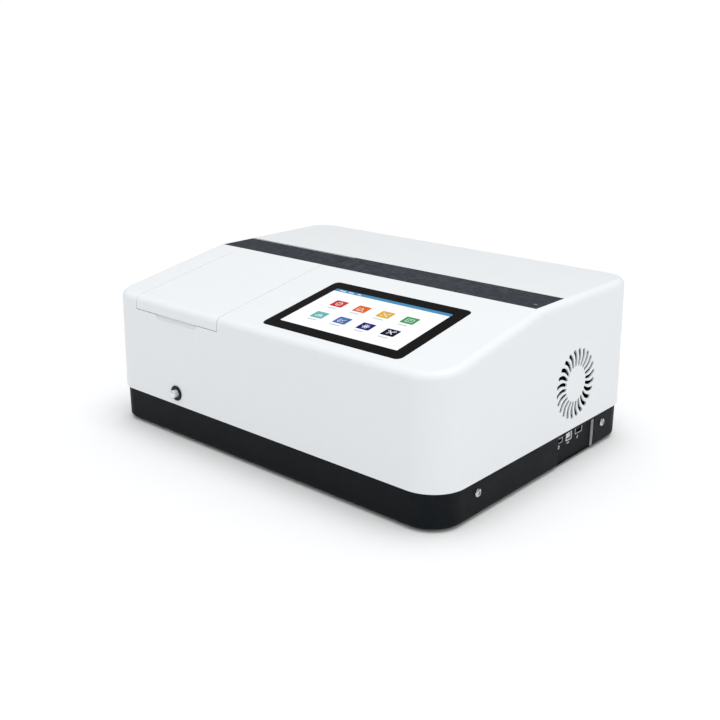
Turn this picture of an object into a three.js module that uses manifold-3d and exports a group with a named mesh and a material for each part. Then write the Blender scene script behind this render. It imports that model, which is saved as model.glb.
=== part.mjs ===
// A benchtop UV-visible spectrophotometer: a white moulded cover on a black base tray, a touch
// screen on the sloping front, a sample compartment at the left under a hinged lid, a four-cell
// cuvette changer worked by a pull rod, and the optics, lamps, fan and electronics inside.
//
// Millimetres. +X is to the right, +Y to the back, +Z up. Pieces are laid out from the middle of
// the cover's footprint; the whole group then moves back by half of what the knob stands out, so
// that the origin is on the bench under the middle of the complete instrument.

import * as THREE from 'three';
import { mergeVertices } from 'three/addons/utils/BufferGeometryUtils.js';
import Module from 'manifold-3d';

const wasm = await Module();
wasm.setup();

// ---------------------------------------------------------------- driving dimensions

const width = 475; // cover, left to right, at its lower edge
const depth = 353; // cover, front to back, at its lower edge
const footProud = 2.5; // the tray stands this far above the bench
const trayHeight = 38;
const trayInset = 2.4; // the tray is this much smaller than the cover all round
const trayWall = 2.5;
const frontRise = 113.3; // cover's lower edge up to its front top corner
const topRise = 143.1; // cover's lower edge up to its flat top
const uprightCorner = { frontRight: 38, frontLeft: 24.5, back: 33 }; // radii in plan
const frontEdgeRadius = 7; // fillet between the front and the slope
const topEdgeRadius = 8; // fillet round the sides and the back
const draft = Math.tan(THREE.MathUtils.degToRad(1.14)); // the cover's walls lean in
const wall = 3.2; // cover and lid
const gap = 0.3; // clearance between pieces that touch
const seam = 0.6; // open seam round the lid and the inlays

const strip = { width: 51, endMargin: 11.1, thickness: 1.6, pastLid: 5.5, split: 1 };
const lid = { leftMargin: 43, width: 136, lip: 14 };
const screen = { width: 181, height: 116, radius: 6.5, rightMargin: 62.2, fromRidge: 32.6, glass: 1.8 };
const lcd = { width: 165, height: 100, thickness: 7 };
const scoop = { width: 68, height: 4.7, depth: 2.2 };
const cells = {
  count: 4, pitch: 19, bore: 12.8, wall: 3.4, height: 35, beamHeight: 15, endClearance: 3.3,
};
const rod = { radius: 3, rise: 14.1, leftMargin: 108.5 };
const knob = { radius: 4.5, length: 17, proud: 8 };
const collar = { radius: 8.65, shank: 6.4, bore: 4.9, proud: 1.4, length: 10 };
const grille = {
  slots: 24, inner: 19, outer: 38, innerWidth: 3.4, outerWidth: 4.9, start: 0.084, sweep: 0.053,
  bend: -0.226, sheet: 2.1, pocket: 42, backMargin: 119.6, rise: 49.3,
};
const fan = { size: 80, depth: 25, bore: 37.5, hub: 17, tip: 35.5, blades: 7 };
const bay = { front: 30.2, back: 106.3, high: 35, recess: 3.2 };
const ports = {
  usb_a_port: { y: 76.3, z: 29.2, width: 14.5, height: 7.2, shell: 0.8 },
  usb_b_port: { y: 56.3, z: 28.3, width: 12, height: 10.4, shell: 1.4 },
  service_port: { y: 38, z: 28.3, width: 10.8, height: 6, shell: 0.7 },
};
const portDepth = 12;
const sideScrew = { frontMargin: 63, backMargin: 54, rise: 24.5, head: 4.5, dome: 2, shank: 2 };
const foot = { radius: 9, margin: 40, stem: 2.5, stemHeight: 8 };
const inlet = {
  x: 96, width: 48, height: 31, bodyHeight: 27, cavityWidth: 25, cavityHeight: 16.4, cavityDepth: 16,
};
const drawer = { width: 24, height: 6.4 };
const rocker = { x: 150, frameWidth: 20, frameHeight: 28, width: 13.4, reach: 9.4, tilt: 20 };

// ---------------------------------------------------------------- worked-out places

const halfWidth = width / 2;
const halfDepth = depth / 2;
const trayTop = footProud + trayHeight; // also the cover's lower edge
const topZ = trayTop + topRise;
const frontFaceY = -halfDepth + frontRise * draft; // front face at its top corner

// The sample compartment is as deep as the changer needs at both ends of its travel, and the
// ridge, where the slope meets the flat top, follows from it.
const travel = (cells.count - 1) * cells.pitch;
const carriageLength = travel + cells.bore + 2 * cells.wall;
const wellFront = frontFaceY + wall + 8.5;
const wellBack = wellFront + travel + carriageLength + 2 * cells.endClearance;
const ridgeY = wellBack + 9;
const slope = (topRise - frontRise) / (ridgeY - frontFaceY);
const slopeAngle = Math.atan(slope);

const stripBack = ridgeY + strip.width;
const stripEnd = halfWidth - strip.endMargin;
const lidLeft = -halfWidth + lid.leftMargin;
const lidRight = lidLeft + lid.width;
const railRight = lidRight + strip.pastLid; // the hinge rail's end, and the split in the strip
const lipZ = trayTop + frontRise - lid.lip; // lower edge of the lid's front lip

const trayFloor = footProud + trayWall; // top of the tray's floor
const sideX = halfWidth - trayInset; // outer face of the tray's right side
const backY = halfDepth - trayInset; // outer face of the tray's back

const surfaceAt = (y) => (y < ridgeY ? topZ - (ridgeY - y) * slope : topZ);
const frontAt = (z) => -halfDepth + (z - trayTop) * draft; // front face at a height
const rightAt = (z) => halfWidth - (z - trayTop) * draft; // right face at a height
const span = (middle, size) => [middle - size / 2, middle + size / 2];

// ---------------------------------------------------------------- making solids

const X = new THREE.Vector3(1, 0, 0);
const Y = new THREE.Vector3(0, 1, 0);
const Z = new THREE.Vector3(0, 0, 1);
const alongX = new THREE.Matrix4().makeBasis(Y, Z, X);
const alongY = new THREE.Matrix4().makeBasis(Z, X, Y);

function solid(geometry) {
  for (const name of ['normal', 'uv']) geometry.deleteAttribute(name);
  const merged = mergeVertices(geometry, 1e-5);
  const mesh = new wasm.Mesh({
    numProp: 3,
    vertProperties: new Float32Array(merged.attributes.position.array),
    triVerts: new Uint32Array(merged.index.array),
  });
  return new wasm.Manifold(mesh);
}

function join(...solids) {
  return solids.reduce((all, next) => all.add(next));
}

function cut(body, ...tools) {
  return tools.reduce((left, tool) => left.subtract(tool), body);
}

function block(x, y, z) {
  const geometry = new THREE.BoxGeometry(x[1] - x[0], y[1] - y[0], z[1] - z[0]);
  geometry.translate((x[0] + x[1]) / 2, (y[0] + y[1]) / 2, (z[0] + z[1]) / 2);
  return solid(geometry);
}

// An outline of [across, up] points, extruded from low to high along its own third axis.
function extrude(points, [low, high], matrix = new THREE.Matrix4()) {
  const shape = new THREE.Shape(points.map(([a, b]) => new THREE.Vector2(a, b)));
  const geometry = new THREE.ExtrudeGeometry(shape, { depth: high - low, bevelEnabled: false });
  geometry.translate(0, 0, low);
  return solid(geometry.applyMatrix4(matrix));
}

const extrudeX = (yz, along) => extrude(yz, along, alongX);
const extrudeY = (xz, along) => extrude(xz.map(([x, z]) => [z, x]), along, alongY);

// A round bar along one axis. at gives the two other coordinates, in X, Y, Z order.
function bar(axis, radius, [low, high], at, sides = 24, lowRadius = radius) {
  const geometry = new THREE.CylinderGeometry(radius, lowRadius, high - low, sides);
  geometry.translate(0, (low + high) / 2, 0);
  if (axis === 'x') geometry.rotateZ(-Math.PI / 2).translate(0, at[0], at[1]);
  if (axis === 'y') geometry.translate(at[0], 0, at[1]);
  if (axis === 'z') geometry.rotateX(Math.PI / 2).translate(at[0], at[1], 0);
  return solid(geometry);
}

function roundedOutline(w, h, radius, steps = 5) {
  const points = [];
  const centres = [[1, 1], [-1, 1], [-1, -1], [1, -1]];
  centres.forEach(([sx, sy], quarter) => {
    for (let i = 0; i <= steps; i++) {
      const angle = (quarter + i / steps) * (Math.PI / 2);
      const cx = sx * (w / 2 - radius);
      const cy = sy * (h / 2 - radius);
      points.push([cx + radius * Math.cos(angle), cy + radius * Math.sin(angle)]);
    }
  });
  return points;
}

// ---------------------------------------------------------------- the scene graph

const instrument = new THREE.Group();
instrument.name = 'spectrophotometer';

const finishes = {
  white: { color: 0xf2f4f5, roughness: 0.42, metalness: 0 },
  black: { color: 0x1c2024, roughness: 0.5, metalness: 0 },
  slate: { color: 0x3a3f48, roughness: 0.45, metalness: 0 },
  glass: { color: 0x101214, roughness: 0.08, metalness: 0 },
  display: { color: 0xdfeaf5, roughness: 0.3, metalness: 0 },
  steel: { color: 0xb9bdc2, roughness: 0.3, metalness: 1 },
  aluminium: { color: 0xc8cbd0, roughness: 0.4, metalness: 1 },
  anodised: { color: 0x202124, roughness: 0.6, metalness: 0.4 },
  mirror: { color: 0xe6eaee, roughness: 0.05, metalness: 1 },
  bulb: { color: 0xdfe9ee, roughness: 0.05, metalness: 0 },
  board: { color: 0x1f6b3c, roughness: 0.5, metalness: 0 },
  rubber: { color: 0x18191a, roughness: 0.85, metalness: 0 },
  motor: { color: 0x2b2d30, roughness: 0.5, metalness: 0.3 },
};

function piece(name, body, finish) {
  const made = body.getMesh();
  const geometry = new THREE.BufferGeometry();
  geometry.setAttribute('position', new THREE.BufferAttribute(made.vertProperties, 3));
  geometry.setIndex(new THREE.BufferAttribute(made.triVerts, 1));
  geometry.computeVertexNormals();
  const mesh = new THREE.Mesh(geometry, new THREE.MeshStandardMaterial(finishes[finish]));
  mesh.name = name;
  instrument.add(mesh);
}

// ---------------------------------------------------------------- cover and tray

// The plan of the housing, anticlockwise from the ridge on the right side. Each point has its
// outward normal, so that an inset moves it straight in.
const cornerSteps = 8;
const plan = [];

function planCorner(sx, sy, startAngle, radius) {
  for (let i = 0; i <= cornerSteps; i++) {
    const angle = startAngle + (i / cornerSteps) * (Math.PI / 2);
    const nx = Math.cos(angle);
    const ny = Math.sin(angle);
    const x = sx * (halfWidth - radius) + radius * nx;
    const y = sy * (halfDepth - radius) + radius * ny;
    plan.push({ x, y, nx, ny });
  }
}

plan.push({ x: halfWidth, y: ridgeY, nx: 1, ny: 0 });
planCorner(1, 1, 0, uprightCorner.back);
planCorner(-1, 1, Math.PI / 2, uprightCorner.back);
const leftRidge = plan.length;
plan.push({ x: -halfWidth, y: ridgeY, nx: -1, ny: 0 });
planCorner(-1, -1, Math.PI, uprightCorner.frontLeft);
planCorner(1, -1, Math.PI * 1.5, uprightCorner.frontRight);

// Rings of points, lowest first, closed by a flat bottom and by a top folded along the ridge.
function loft(rings) {
  const count = plan.length;
  const faces = [];
  for (let k = 0; k + 1 < rings.length; k++) {
    for (let i = 0; i < count; i++) {
      const j = (i + 1) % count;
      const low = k * count;
      const high = low + count;
      faces.push(low + i, low + j, high + j, low + i, high + j, high + i);
    }
  }
  const top = (rings.length - 1) * count;
  for (let i = 1; i + 1 < count; i++) faces.push(0, i + 1, i);
  for (let i = 1; i < leftRidge; i++) faces.push(top, top + i, top + i + 1);
  for (let i = leftRidge + 1; i < count; i++) {
    faces.push(top + leftRidge, top + i, top + ((i + 1) % count));
  }
  const geometry = new THREE.BufferGeometry();
  geometry.setAttribute('position', new THREE.Float32BufferAttribute(rings.flat(2), 3));
  geometry.setIndex(faces);
  return solid(geometry);
}

// The cover's outer form, or with an inset the space inside its wall.
const edgeSteps = 4;

function coverForm(inset, lowZ) {
  const lean = (z) => (z - trayTop) * draft;
  const ringAt = (place) => plan.map((p) => {
    const { d, drop } = place(p);
    const y = p.y - p.ny * d;
    return [p.x - p.nx * d, y, drop === null ? lowZ : surfaceAt(y) - inset - drop];
  });
  const rings = [ringAt(() => ({ d: inset + lean(lowZ), drop: null }))];
  for (let i = 0; i <= edgeSteps; i++) {
    const angle = (i / edgeSteps) * (Math.PI / 2);
    rings.push(ringAt((p) => {
      const full = THREE.MathUtils.lerp(topEdgeRadius, frontEdgeRadius, Math.max(0, -p.ny));
      const radius = full - inset;
      const d = inset + lean(surfaceAt(p.y) - full) + radius * (1 - Math.cos(angle));
      return { d, drop: radius * (1 - Math.sin(angle)) };
    }));
  }
  return loft(rings);
}

function trayForm(inset, low, high, radius = 0) {
  const ringAt = (d, z) => plan.map((p) => [p.x - p.nx * d, p.y - p.ny * d, z]);
  const rings = [];
  const steps = radius > 0 ? 3 : 0;
  for (let i = 0; i <= steps; i++) {
    const angle = steps > 0 ? (i / steps) * (Math.PI / 2) : 0;
    rings.push(ringAt(inset + radius * (1 - Math.sin(angle)), low + radius * (1 - Math.cos(angle))));
  }
  rings.push(ringAt(inset, high));
  return loft(rings);
}

const above = topZ + 50;
const coverSkin = cut(coverForm(0, trayTop), coverForm(wall, trayTop - wall));

// Things on the slope are drawn flat, with the outer surface at height 0, and laid on it here.
const screenX = halfWidth - screen.rightMargin - screen.width / 2;
const screenRun = screen.fromRidge + screen.height / 2; // down the slope, ridge to middle

const toSlope = new THREE.Matrix4()
  .makeTranslation(screenX, ridgeY, topZ)
  .multiply(new THREE.Matrix4().makeRotationX(slopeAngle))
  .multiply(new THREE.Matrix4().makeTranslation(0, -screenRun, 0));

function onSlope(w, h, radius, low, high) {
  return extrude(roundedOutline(w, h, radius), [low, high], toSlope);
}

// Swirling air slots of the grille in the right side, round the fan's axis.
const fanY = halfDepth - grille.backMargin;
const fanZ = trayTop + grille.rise;

function swirlSlot(index) {
  const steps = 4;
  const edge = (side) => Array.from({ length: steps + 1 }, (_, i) => {
    const share = i / steps;
    const r = THREE.MathUtils.lerp(grille.inner, grille.outer, share);
    const half = THREE.MathUtils.lerp(grille.innerWidth, grille.outerWidth, share) / 2;
    const swirl = grille.start + grille.sweep * share + grille.bend * share * (1 - share);
    const angle = (index / grille.slots) * Math.PI * 2 + swirl + (side * half) / r;
    return [fanY + r * Math.cos(angle), fanZ + r * Math.sin(angle)];
  });
  return extrudeX([...edge(-1), ...edge(1).reverse()], [halfWidth - 20, halfWidth + 5]);
}

// The wall is thinned from inside behind the grille, by a round pocket square to the wall.
function grillePocket() {
  const reach = 20;
  const geometry = new THREE.CylinderGeometry(grille.pocket, grille.pocket, reach, 48);
  geometry.rotateZ(-Math.PI / 2).translate(-reach / 2 - grille.sheet, 0, 0);
  geometry.rotateY(-Math.atan(draft)).translate(rightAt(fanZ), fanY, fanZ);
  return solid(geometry);
}

const rodX = -halfWidth + rod.leftMargin;
const rodZ = trayTop + rod.rise;

const rearVent = { slots: 14, pitch: 9, width: 3.2, height: 46, rise: 40, x: 60 };

function makeCover() {
  const lidHole = block(
    [lidLeft - seam, lidRight + seam], [-depth, ridgeY + gap], [lipZ - seam, above],
  );
  const railHole = block(
    [-stripEnd - seam, railRight + strip.split], [ridgeY - seam, stripBack + seam],
    [topZ - 20, above],
  );
  const inlay = block(
    [railRight, stripEnd + seam], [ridgeY - seam, stripBack + seam],
    [topZ - strip.thickness - gap, above],
  );
  const glassSeat = onSlope(
    screen.width + seam, screen.height + seam, screen.radius, -screen.glass - gap, 20,
  );
  const lcdHole = onSlope(lcd.width + 2 * gap, lcd.height + 2 * gap, 2, -20, 20);
  const slots = Array.from({ length: grille.slots }, (_, i) => swirlSlot(i));
  const vents = Array.from({ length: rearVent.slots }, (_, i) => {
    const x = rearVent.x + (i - (rearVent.slots - 1) / 2) * rearVent.pitch;
    const z = trayTop + rearVent.rise;
    return block(span(x, rearVent.width), [halfDepth - 20, halfDepth + 5], span(z, rearVent.height));
  });
  const collarHole = bar('y', collar.shank + gap, [-halfDepth - 5, -halfDepth + 20], [rodX, rodZ]);
  const lipFront = frontAt(lipZ);
  const scoopMiddle = (lidLeft + lidRight) / 2;
  const fingerScoop = extrudeX(
    [
      [lipFront - 5, lipZ + 1],
      [lipFront - 5, lipZ - scoop.height],
      [lipFront, lipZ - scoop.height],
      [lipFront + scoop.depth, lipZ - seam - 1],
      [lipFront + scoop.depth, lipZ + 1],
    ],
    span(scoopMiddle, scoop.width),
  );
  piece('top_cover', cut(
    coverSkin, lidHole, railHole, inlay, glassSeat, lcdHole, grillePocket(), ...slots, ...vents,
    collarHole, fingerScoop,
  ), 'white');
}

const trayEdgeRadius = 4.5;
const rimHeight = 6; // the tray's rim stands up inside the cover
const screwPlaces = [-halfDepth + sideScrew.frontMargin, halfDepth - sideScrew.backMargin];
const footPlaces = [];
for (const sx of [-1, 1]) {
  for (const sy of [-1, 1]) {
    footPlaces.push([sx * (halfWidth - foot.margin), sy * (halfDepth - foot.margin)]);
  }
}
const bayTop = footProud + bay.high;
const inletZ = footProud + trayHeight / 2;

function makeTray() {
  const holes = [
    block([sideX - bay.recess - 2, sideX + 5], [bay.front, bay.back], [0, bayTop]),
    block(span(inlet.x, 40), [backY - 10, backY + 5], span(inletZ, inlet.bodyHeight + 1)),
    block(span(rocker.x, 16), [backY - 10, backY + 5], span(inletZ, 24)),
  ];
  for (const y of screwPlaces) {
    const z = footProud + sideScrew.rise;
    holes.push(bar('x', sideScrew.shank + gap, [-halfWidth, halfWidth], [y, z], 12));
  }
  for (const place of footPlaces) {
    holes.push(bar('z', foot.stem + gap, [0, trayFloor + 1], place, 12));
  }
  const outer = trayForm(trayInset, footProud, trayTop - gap, trayEdgeRadius);
  const rim = trayForm(wall + draft * rimHeight + gap, trayTop - 5, trayTop + rimHeight);
  const inner = trayForm(trayInset + trayWall, trayFloor, above);
  piece('base_tray', cut(join(outer, rim), inner, ...holes), 'black');
}

function makeFeet() {
  footPlaces.forEach(([x, y]) => {
    const name = `foot_${y < 0 ? 'front' : 'back'}_${x < 0 ? 'left' : 'right'}`;
    const pad = bar('z', foot.radius, [0, footProud - gap], [x, y], 24, foot.radius - 1);
    const stem = bar('z', foot.stem, [footProud - 1, foot.stemHeight], [x, y], 12);
    piece(name, join(pad, stem), 'rubber');
  });
}

// A domed head on a plain shank, its axis along X; out is +1 on the right side.
function makeSideScrews() {
  for (const out of [-1, 1]) {
    screwPlaces.forEach((y, i) => {
      const under = sideX + gap;
      const profile = [new THREE.Vector2(0, -10), new THREE.Vector2(sideScrew.shank, -10)];
      profile.push(new THREE.Vector2(sideScrew.shank, 0), new THREE.Vector2(sideScrew.head, 0));
      for (let k = 1; k <= 3; k++) {
        const a = (k / 4) * (Math.PI / 2);
        profile.push(new THREE.Vector2(sideScrew.head * Math.cos(a), sideScrew.dome * Math.sin(a)));
      }
      profile.push(new THREE.Vector2(0, sideScrew.dome));
      const geometry = new THREE.LatheGeometry(profile, 16);
      geometry.rotateZ((-out * Math.PI) / 2).translate(out * under, y, footProud + sideScrew.rise);
      const name = `side_screw_${i === 0 ? 'front' : 'back'}_${out < 0 ? 'left' : 'right'}`;
      piece(name, solid(geometry), 'steel');
    });
  }
}

// ---------------------------------------------------------------- screen and name strip

function makeScreen() {
  piece('screen_glass', onSlope(
    screen.width, screen.height, screen.radius, -screen.glass, 0.3,
  ), 'glass');
  piece('lcd_module', onSlope(
    lcd.width, lcd.height, 2, -screen.glass - gap - lcd.thickness, -screen.glass - gap,
  ), 'display');
}

function makeNameStrip() {
  piece('name_strip', block(
    [railRight + strip.split, stripEnd], [ridgeY, stripBack], [topZ - strip.thickness, topZ],
  ), 'slate');
}

// ---------------------------------------------------------------- sample compartment

const flangeDrop = wall + 3.3; // top of the compartment's flange below the outer surface
const flange = { thickness: 2.5, overlap: 6 };
const wellWall = 2.5;
const wellSide = 7; // the compartment's inner walls are this far inside the lid's edge
const wellLeft = lidLeft + wellSide;
const wellRight = lidRight - wellSide;
const wellFloor = trayTop + 4;
const beamZ = wellFloor + 2 + 14 + cells.beamHeight; // changer's clearance, foot and beam height
const beamY = (wellFront + wellBack) / 2;

// An outline that follows the outer surface at two depths, between two Y stations.
function band(front, back, upper, lower) {
  const stations = back > ridgeY ? [front, ridgeY, back] : [front, back];
  const topSide = stations.map((y) => [y, surfaceAt(y) - upper]);
  const underSide = stations.map((y) => [y, surfaceAt(y) - lower]).reverse();
  return [...topSide, ...underSide];
}

const rail = { radius: 2.5, spread: 21, rise: 7.5 };

function makeWell() {
  const outer = extrudeX([
    [wellFront - wellWall, wellFloor - wellWall],
    [wellBack + wellWall, wellFloor - wellWall],
    [wellBack + wellWall, surfaceAt(wellBack + wellWall) - flangeDrop],
    [wellFront - wellWall, surfaceAt(wellFront - wellWall) - flangeDrop],
  ], [wellLeft - wellWall, wellRight + wellWall]);
  const rimPlate = extrudeX(
    band(frontFaceY + wall + 1, ridgeY - 4, flangeDrop, flangeDrop + flange.thickness),
    [lidLeft - flange.overlap, lidRight + flange.overlap],
  );
  const inside = block([wellLeft, wellRight], [wellFront, wellBack], [wellFloor, above]);
  const beamHole = bar('x', 6, [wellLeft - 10, wellRight + 10], [beamY, beamZ], 16);
  const rodHole = bar('y', rod.radius + 1.5, [wellFront - 10, wellFront + 5], [rodX, rodZ], 16);
  const railHoles = [-1, 1].map((side) => bar(
    'y', rail.radius + gap, [wellFront - 10, wellBack + 10],
    [rodX + side * rail.spread, wellFloor + rail.rise], 16,
  ));
  piece('sample_well', cut(join(outer, rimPlate), inside, beamHole, rodHole, ...railHoles), 'anodised');
  for (const side of [-1, 1]) {
    piece(`guide_rail_${side < 0 ? 'left' : 'right'}`, bar(
      'y', rail.radius, [wellFront - wellWall, wellBack + wellWall],
      [rodX + side * rail.spread, wellFloor + rail.rise], 16,
    ), 'steel');
  }
}

// The changer at rest is pushed in, with its front cell in the beam.
const carriageFoot = { height: 14, rise: 2, half: 27 };
const carriageFloor = wellFloor + carriageFoot.rise + carriageFoot.height;
const carriageFront = beamY - cells.bore / 2 - cells.wall;
const carriageBack = carriageFront + carriageLength;

function makeChanger() {
  const halfBlock = cells.bore / 2 + cells.wall;
  const footBlock = block(
    [rodX - carriageFoot.half, rodX + carriageFoot.half], [carriageFront, carriageBack],
    [wellFloor + carriageFoot.rise, carriageFloor],
  );
  const cellBlock = block(
    [rodX - halfBlock, rodX + halfBlock], [carriageFront, carriageBack],
    [carriageFloor - 1, carriageFloor + cells.height],
  );
  const holes = [];
  for (let i = 0; i < cells.count; i++) {
    const y = beamY + i * cells.pitch;
    holes.push(block(span(rodX, cells.bore), span(y, cells.bore), [carriageFloor, above]));
    holes.push(bar('x', 3, [rodX - 20, rodX + 20], [y, beamZ], 12));
  }
  for (const side of [-1, 1]) {
    const at = [rodX + side * rail.spread, wellFloor + rail.rise];
    holes.push(bar('y', rail.radius + gap, [carriageFront - 5, carriageBack + 5], at, 16));
  }
  holes.push(bar('y', rod.radius + gap, [carriageFront - 5, carriageFront + 12], [rodX, rodZ], 16));
  piece('cuvette_carriage', cut(join(footBlock, cellBlock), ...holes), 'anodised');

  const faceY = frontAt(rodZ);
  const knobBack = faceY - knob.proud + knob.length;
  piece('pull_rod', bar('y', rod.radius, [knobBack + gap, carriageFront + 11], [rodX, rodZ], 16), 'steel');

  const profile = [new THREE.Vector2(0, 0)];
  for (let k = 1; k <= 4; k++) {
    const a = (k / 4) * (Math.PI / 2);
    profile.push(new THREE.Vector2(knob.radius * Math.sin(a), 2 * (1 - Math.cos(a))));
  }
  profile.push(new THREE.Vector2(knob.radius, knob.length), new THREE.Vector2(0, knob.length));
  const geometry = new THREE.LatheGeometry(profile, 24);
  geometry.translate(rodX, faceY - knob.proud, rodZ);
  piece('pull_knob', solid(geometry), 'steel');

  const ring = bar('y', collar.radius, [faceY - collar.proud, faceY - gap], [rodX, rodZ], 32);
  const shank = bar('y', collar.shank, [faceY - 1, faceY + collar.length], [rodX, rodZ]);
  const bore = bar('y', collar.bore, [faceY - 5, faceY + collar.length + 5], [rodX, rodZ]);
  piece('rod_collar', cut(join(ring, shank), bore), 'black');
}

// ---------------------------------------------------------------- lid and its hinge

const nose = 5; // the rail's rear edge turns about the hinge pin at this radius
const hingeY = stripBack - nose;
const hingeZ = topZ - nose;
const knuckle = nose - strip.thickness - 2 * gap;
const pinRadius = 1.4;
const channel = { depth: 13, wall: 1.5 };

function makeLid() {
  const region = block([lidLeft, lidRight], [-depth, ridgeY - gap], [lipZ, above]);
  const shell = coverSkin.intersect(region);
  const skirts = [[lidLeft, lidLeft + 2.2], [lidRight - 2.2, lidRight]].map((along) => extrudeX(
    band(frontFaceY + wall - 0.5, ridgeY - gap, wall - 0.5, flangeDrop - gap), along,
  ));
  piece('lid_shell', join(shell, ...skirts), 'white');

  // The rail is the slate plate over the hinge: a flat with a nose rolled about the pin.
  const rolled = [];
  const rolledInside = [];
  for (let i = 0; i <= 5; i++) {
    const angle = THREE.MathUtils.degToRad(90 - i * 14);
    const place = (r) => [hingeY + r * Math.cos(angle), hingeZ + r * Math.sin(angle)];
    rolled.push(place(nose));
    rolledInside.unshift(place(nose - strip.thickness));
  }
  piece('hinge_rail', extrudeX([
    [ridgeY, topZ - strip.thickness], [ridgeY, topZ], ...rolled, ...rolledInside,
  ], [-stripEnd, railRight]), 'slate');

  const linerTop = wall + gap;
  const linerDepth = 15;
  const inset = 2.6;
  const linerFront = wellFront + inset;
  const linerBack = wellBack - inset;
  const along = [wellLeft + inset, wellRight - inset];
  const pocket = extrudeX(
    band(linerFront + 1.6, linerBack - 1.6, linerTop + 1.6, linerDepth + 5),
    [along[0] + 1.6, along[1] - 1.6],
  );
  const liner = extrudeX(band(linerFront, linerBack, linerTop, linerDepth), along);
  piece('lid_liner', cut(liner, pocket), 'anodised');
}

function makeHinge() {
  const pinEnds = [-stripEnd + 6, railRight - 5];
  piece('hinge_pin', bar('x', pinRadius, pinEnds, [hingeY, hingeZ], 16), 'steel');
  const bore = bar('x', pinRadius + gap, [-width, width], [hingeY, hingeZ], 16);

  const sides = { left: [pinEnds[0] + 2, 1], right: [pinEnds[1] - 2, -1] };
  for (const [name, [x, inward]] of Object.entries(sides)) {
    const lug = [x, x + inward * 7].sort((a, b) => a - b);
    const floor = topZ - channel.depth + gap;
    const bracket = join(
      bar('x', knuckle, lug, [hingeY, hingeZ], 20),
      block(lug, [hingeY - knuckle, hingeY + 0.8], [floor, hingeZ]),
      block(lug, [hingeY - 16, hingeY + 0.8], [floor, floor + 1.6]),
    );
    piece(`hinge_bracket_${name}`, cut(bracket, bore), 'steel');

    const leafEnd = (name === 'left' ? lidLeft : lidRight) + inward * 16;
    const leafX = [leafEnd, leafEnd + inward * 22].sort((a, b) => a - b);
    const under = strip.thickness + gap;
    const leaf = join(
      bar('x', knuckle, leafX, [hingeY, hingeZ], 20),
      extrudeX(band(ridgeY - 8, ridgeY + 1, wall + gap, wall + 2), leafX),
      block(leafX, [ridgeY + 0.5, hingeY], [topZ - wall - 2, topZ - under]),
    );
    piece(`hinge_leaf_${name}`, cut(leaf, bore), 'steel');
  }

  // A dark tray under the rail, open at the top, that carries the hinge brackets.
  const clear = seam + channel.wall;
  const x = [-stripEnd - clear, railRight + clear];
  const y = [ridgeY - clear, stripBack + clear];
  const z = [topZ - channel.depth - channel.wall, topZ - wall - 4 * gap];
  const inside = block(
    [x[0] + channel.wall, x[1] - channel.wall], [y[0] + channel.wall, y[1] - channel.wall],
    [topZ - channel.depth, above],
  );
  const frontCut = block([-width, width], [y[0] - 5, ridgeY + 2], [topZ - flangeDrop - 4 * gap, above]);
  piece('hinge_channel', cut(block(x, y, z), inside, frontCut), 'anodised');
}

// ---------------------------------------------------------------- connectors and power entry

function makeConnectors() {
  const sheet = 1.2;
  const front = bay.front + gap;
  const back = bay.back - gap;
  const z = [footProud, bayTop - gap];
  const faceX = sideX - bay.recess;
  const trayOutline = trayForm(trayInset + gap, footProud, trayTop, trayEdgeRadius);
  const pan = cut(
    block([faceX - sheet, sideX], [front, back], z).intersect(trayOutline),
    block([faceX, sideX + 5], [front + sheet, back - sheet], [z[0] + sheet, z[1] - sheet]),
  );
  const holes = [];
  for (const [name, port] of Object.entries(ports)) {
    const pz = footProud + port.z;
    const body = block([faceX - portDepth, faceX + 1], span(port.y, port.width), span(pz, port.height));
    const mouth = block(
      [faceX - portDepth + 2, faceX + 5],
      span(port.y, port.width - 2 * port.shell), span(pz, port.height - 2 * port.shell),
    );
    piece(name, cut(body, mouth), 'steel');
    holes.push(block(
      [faceX - 10, faceX + 5], span(port.y, port.width + 2 * gap), span(pz, port.height + 2 * gap),
    ));
  }
  piece('connector_panel', cut(pan, ...holes), 'aluminium');
}

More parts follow.
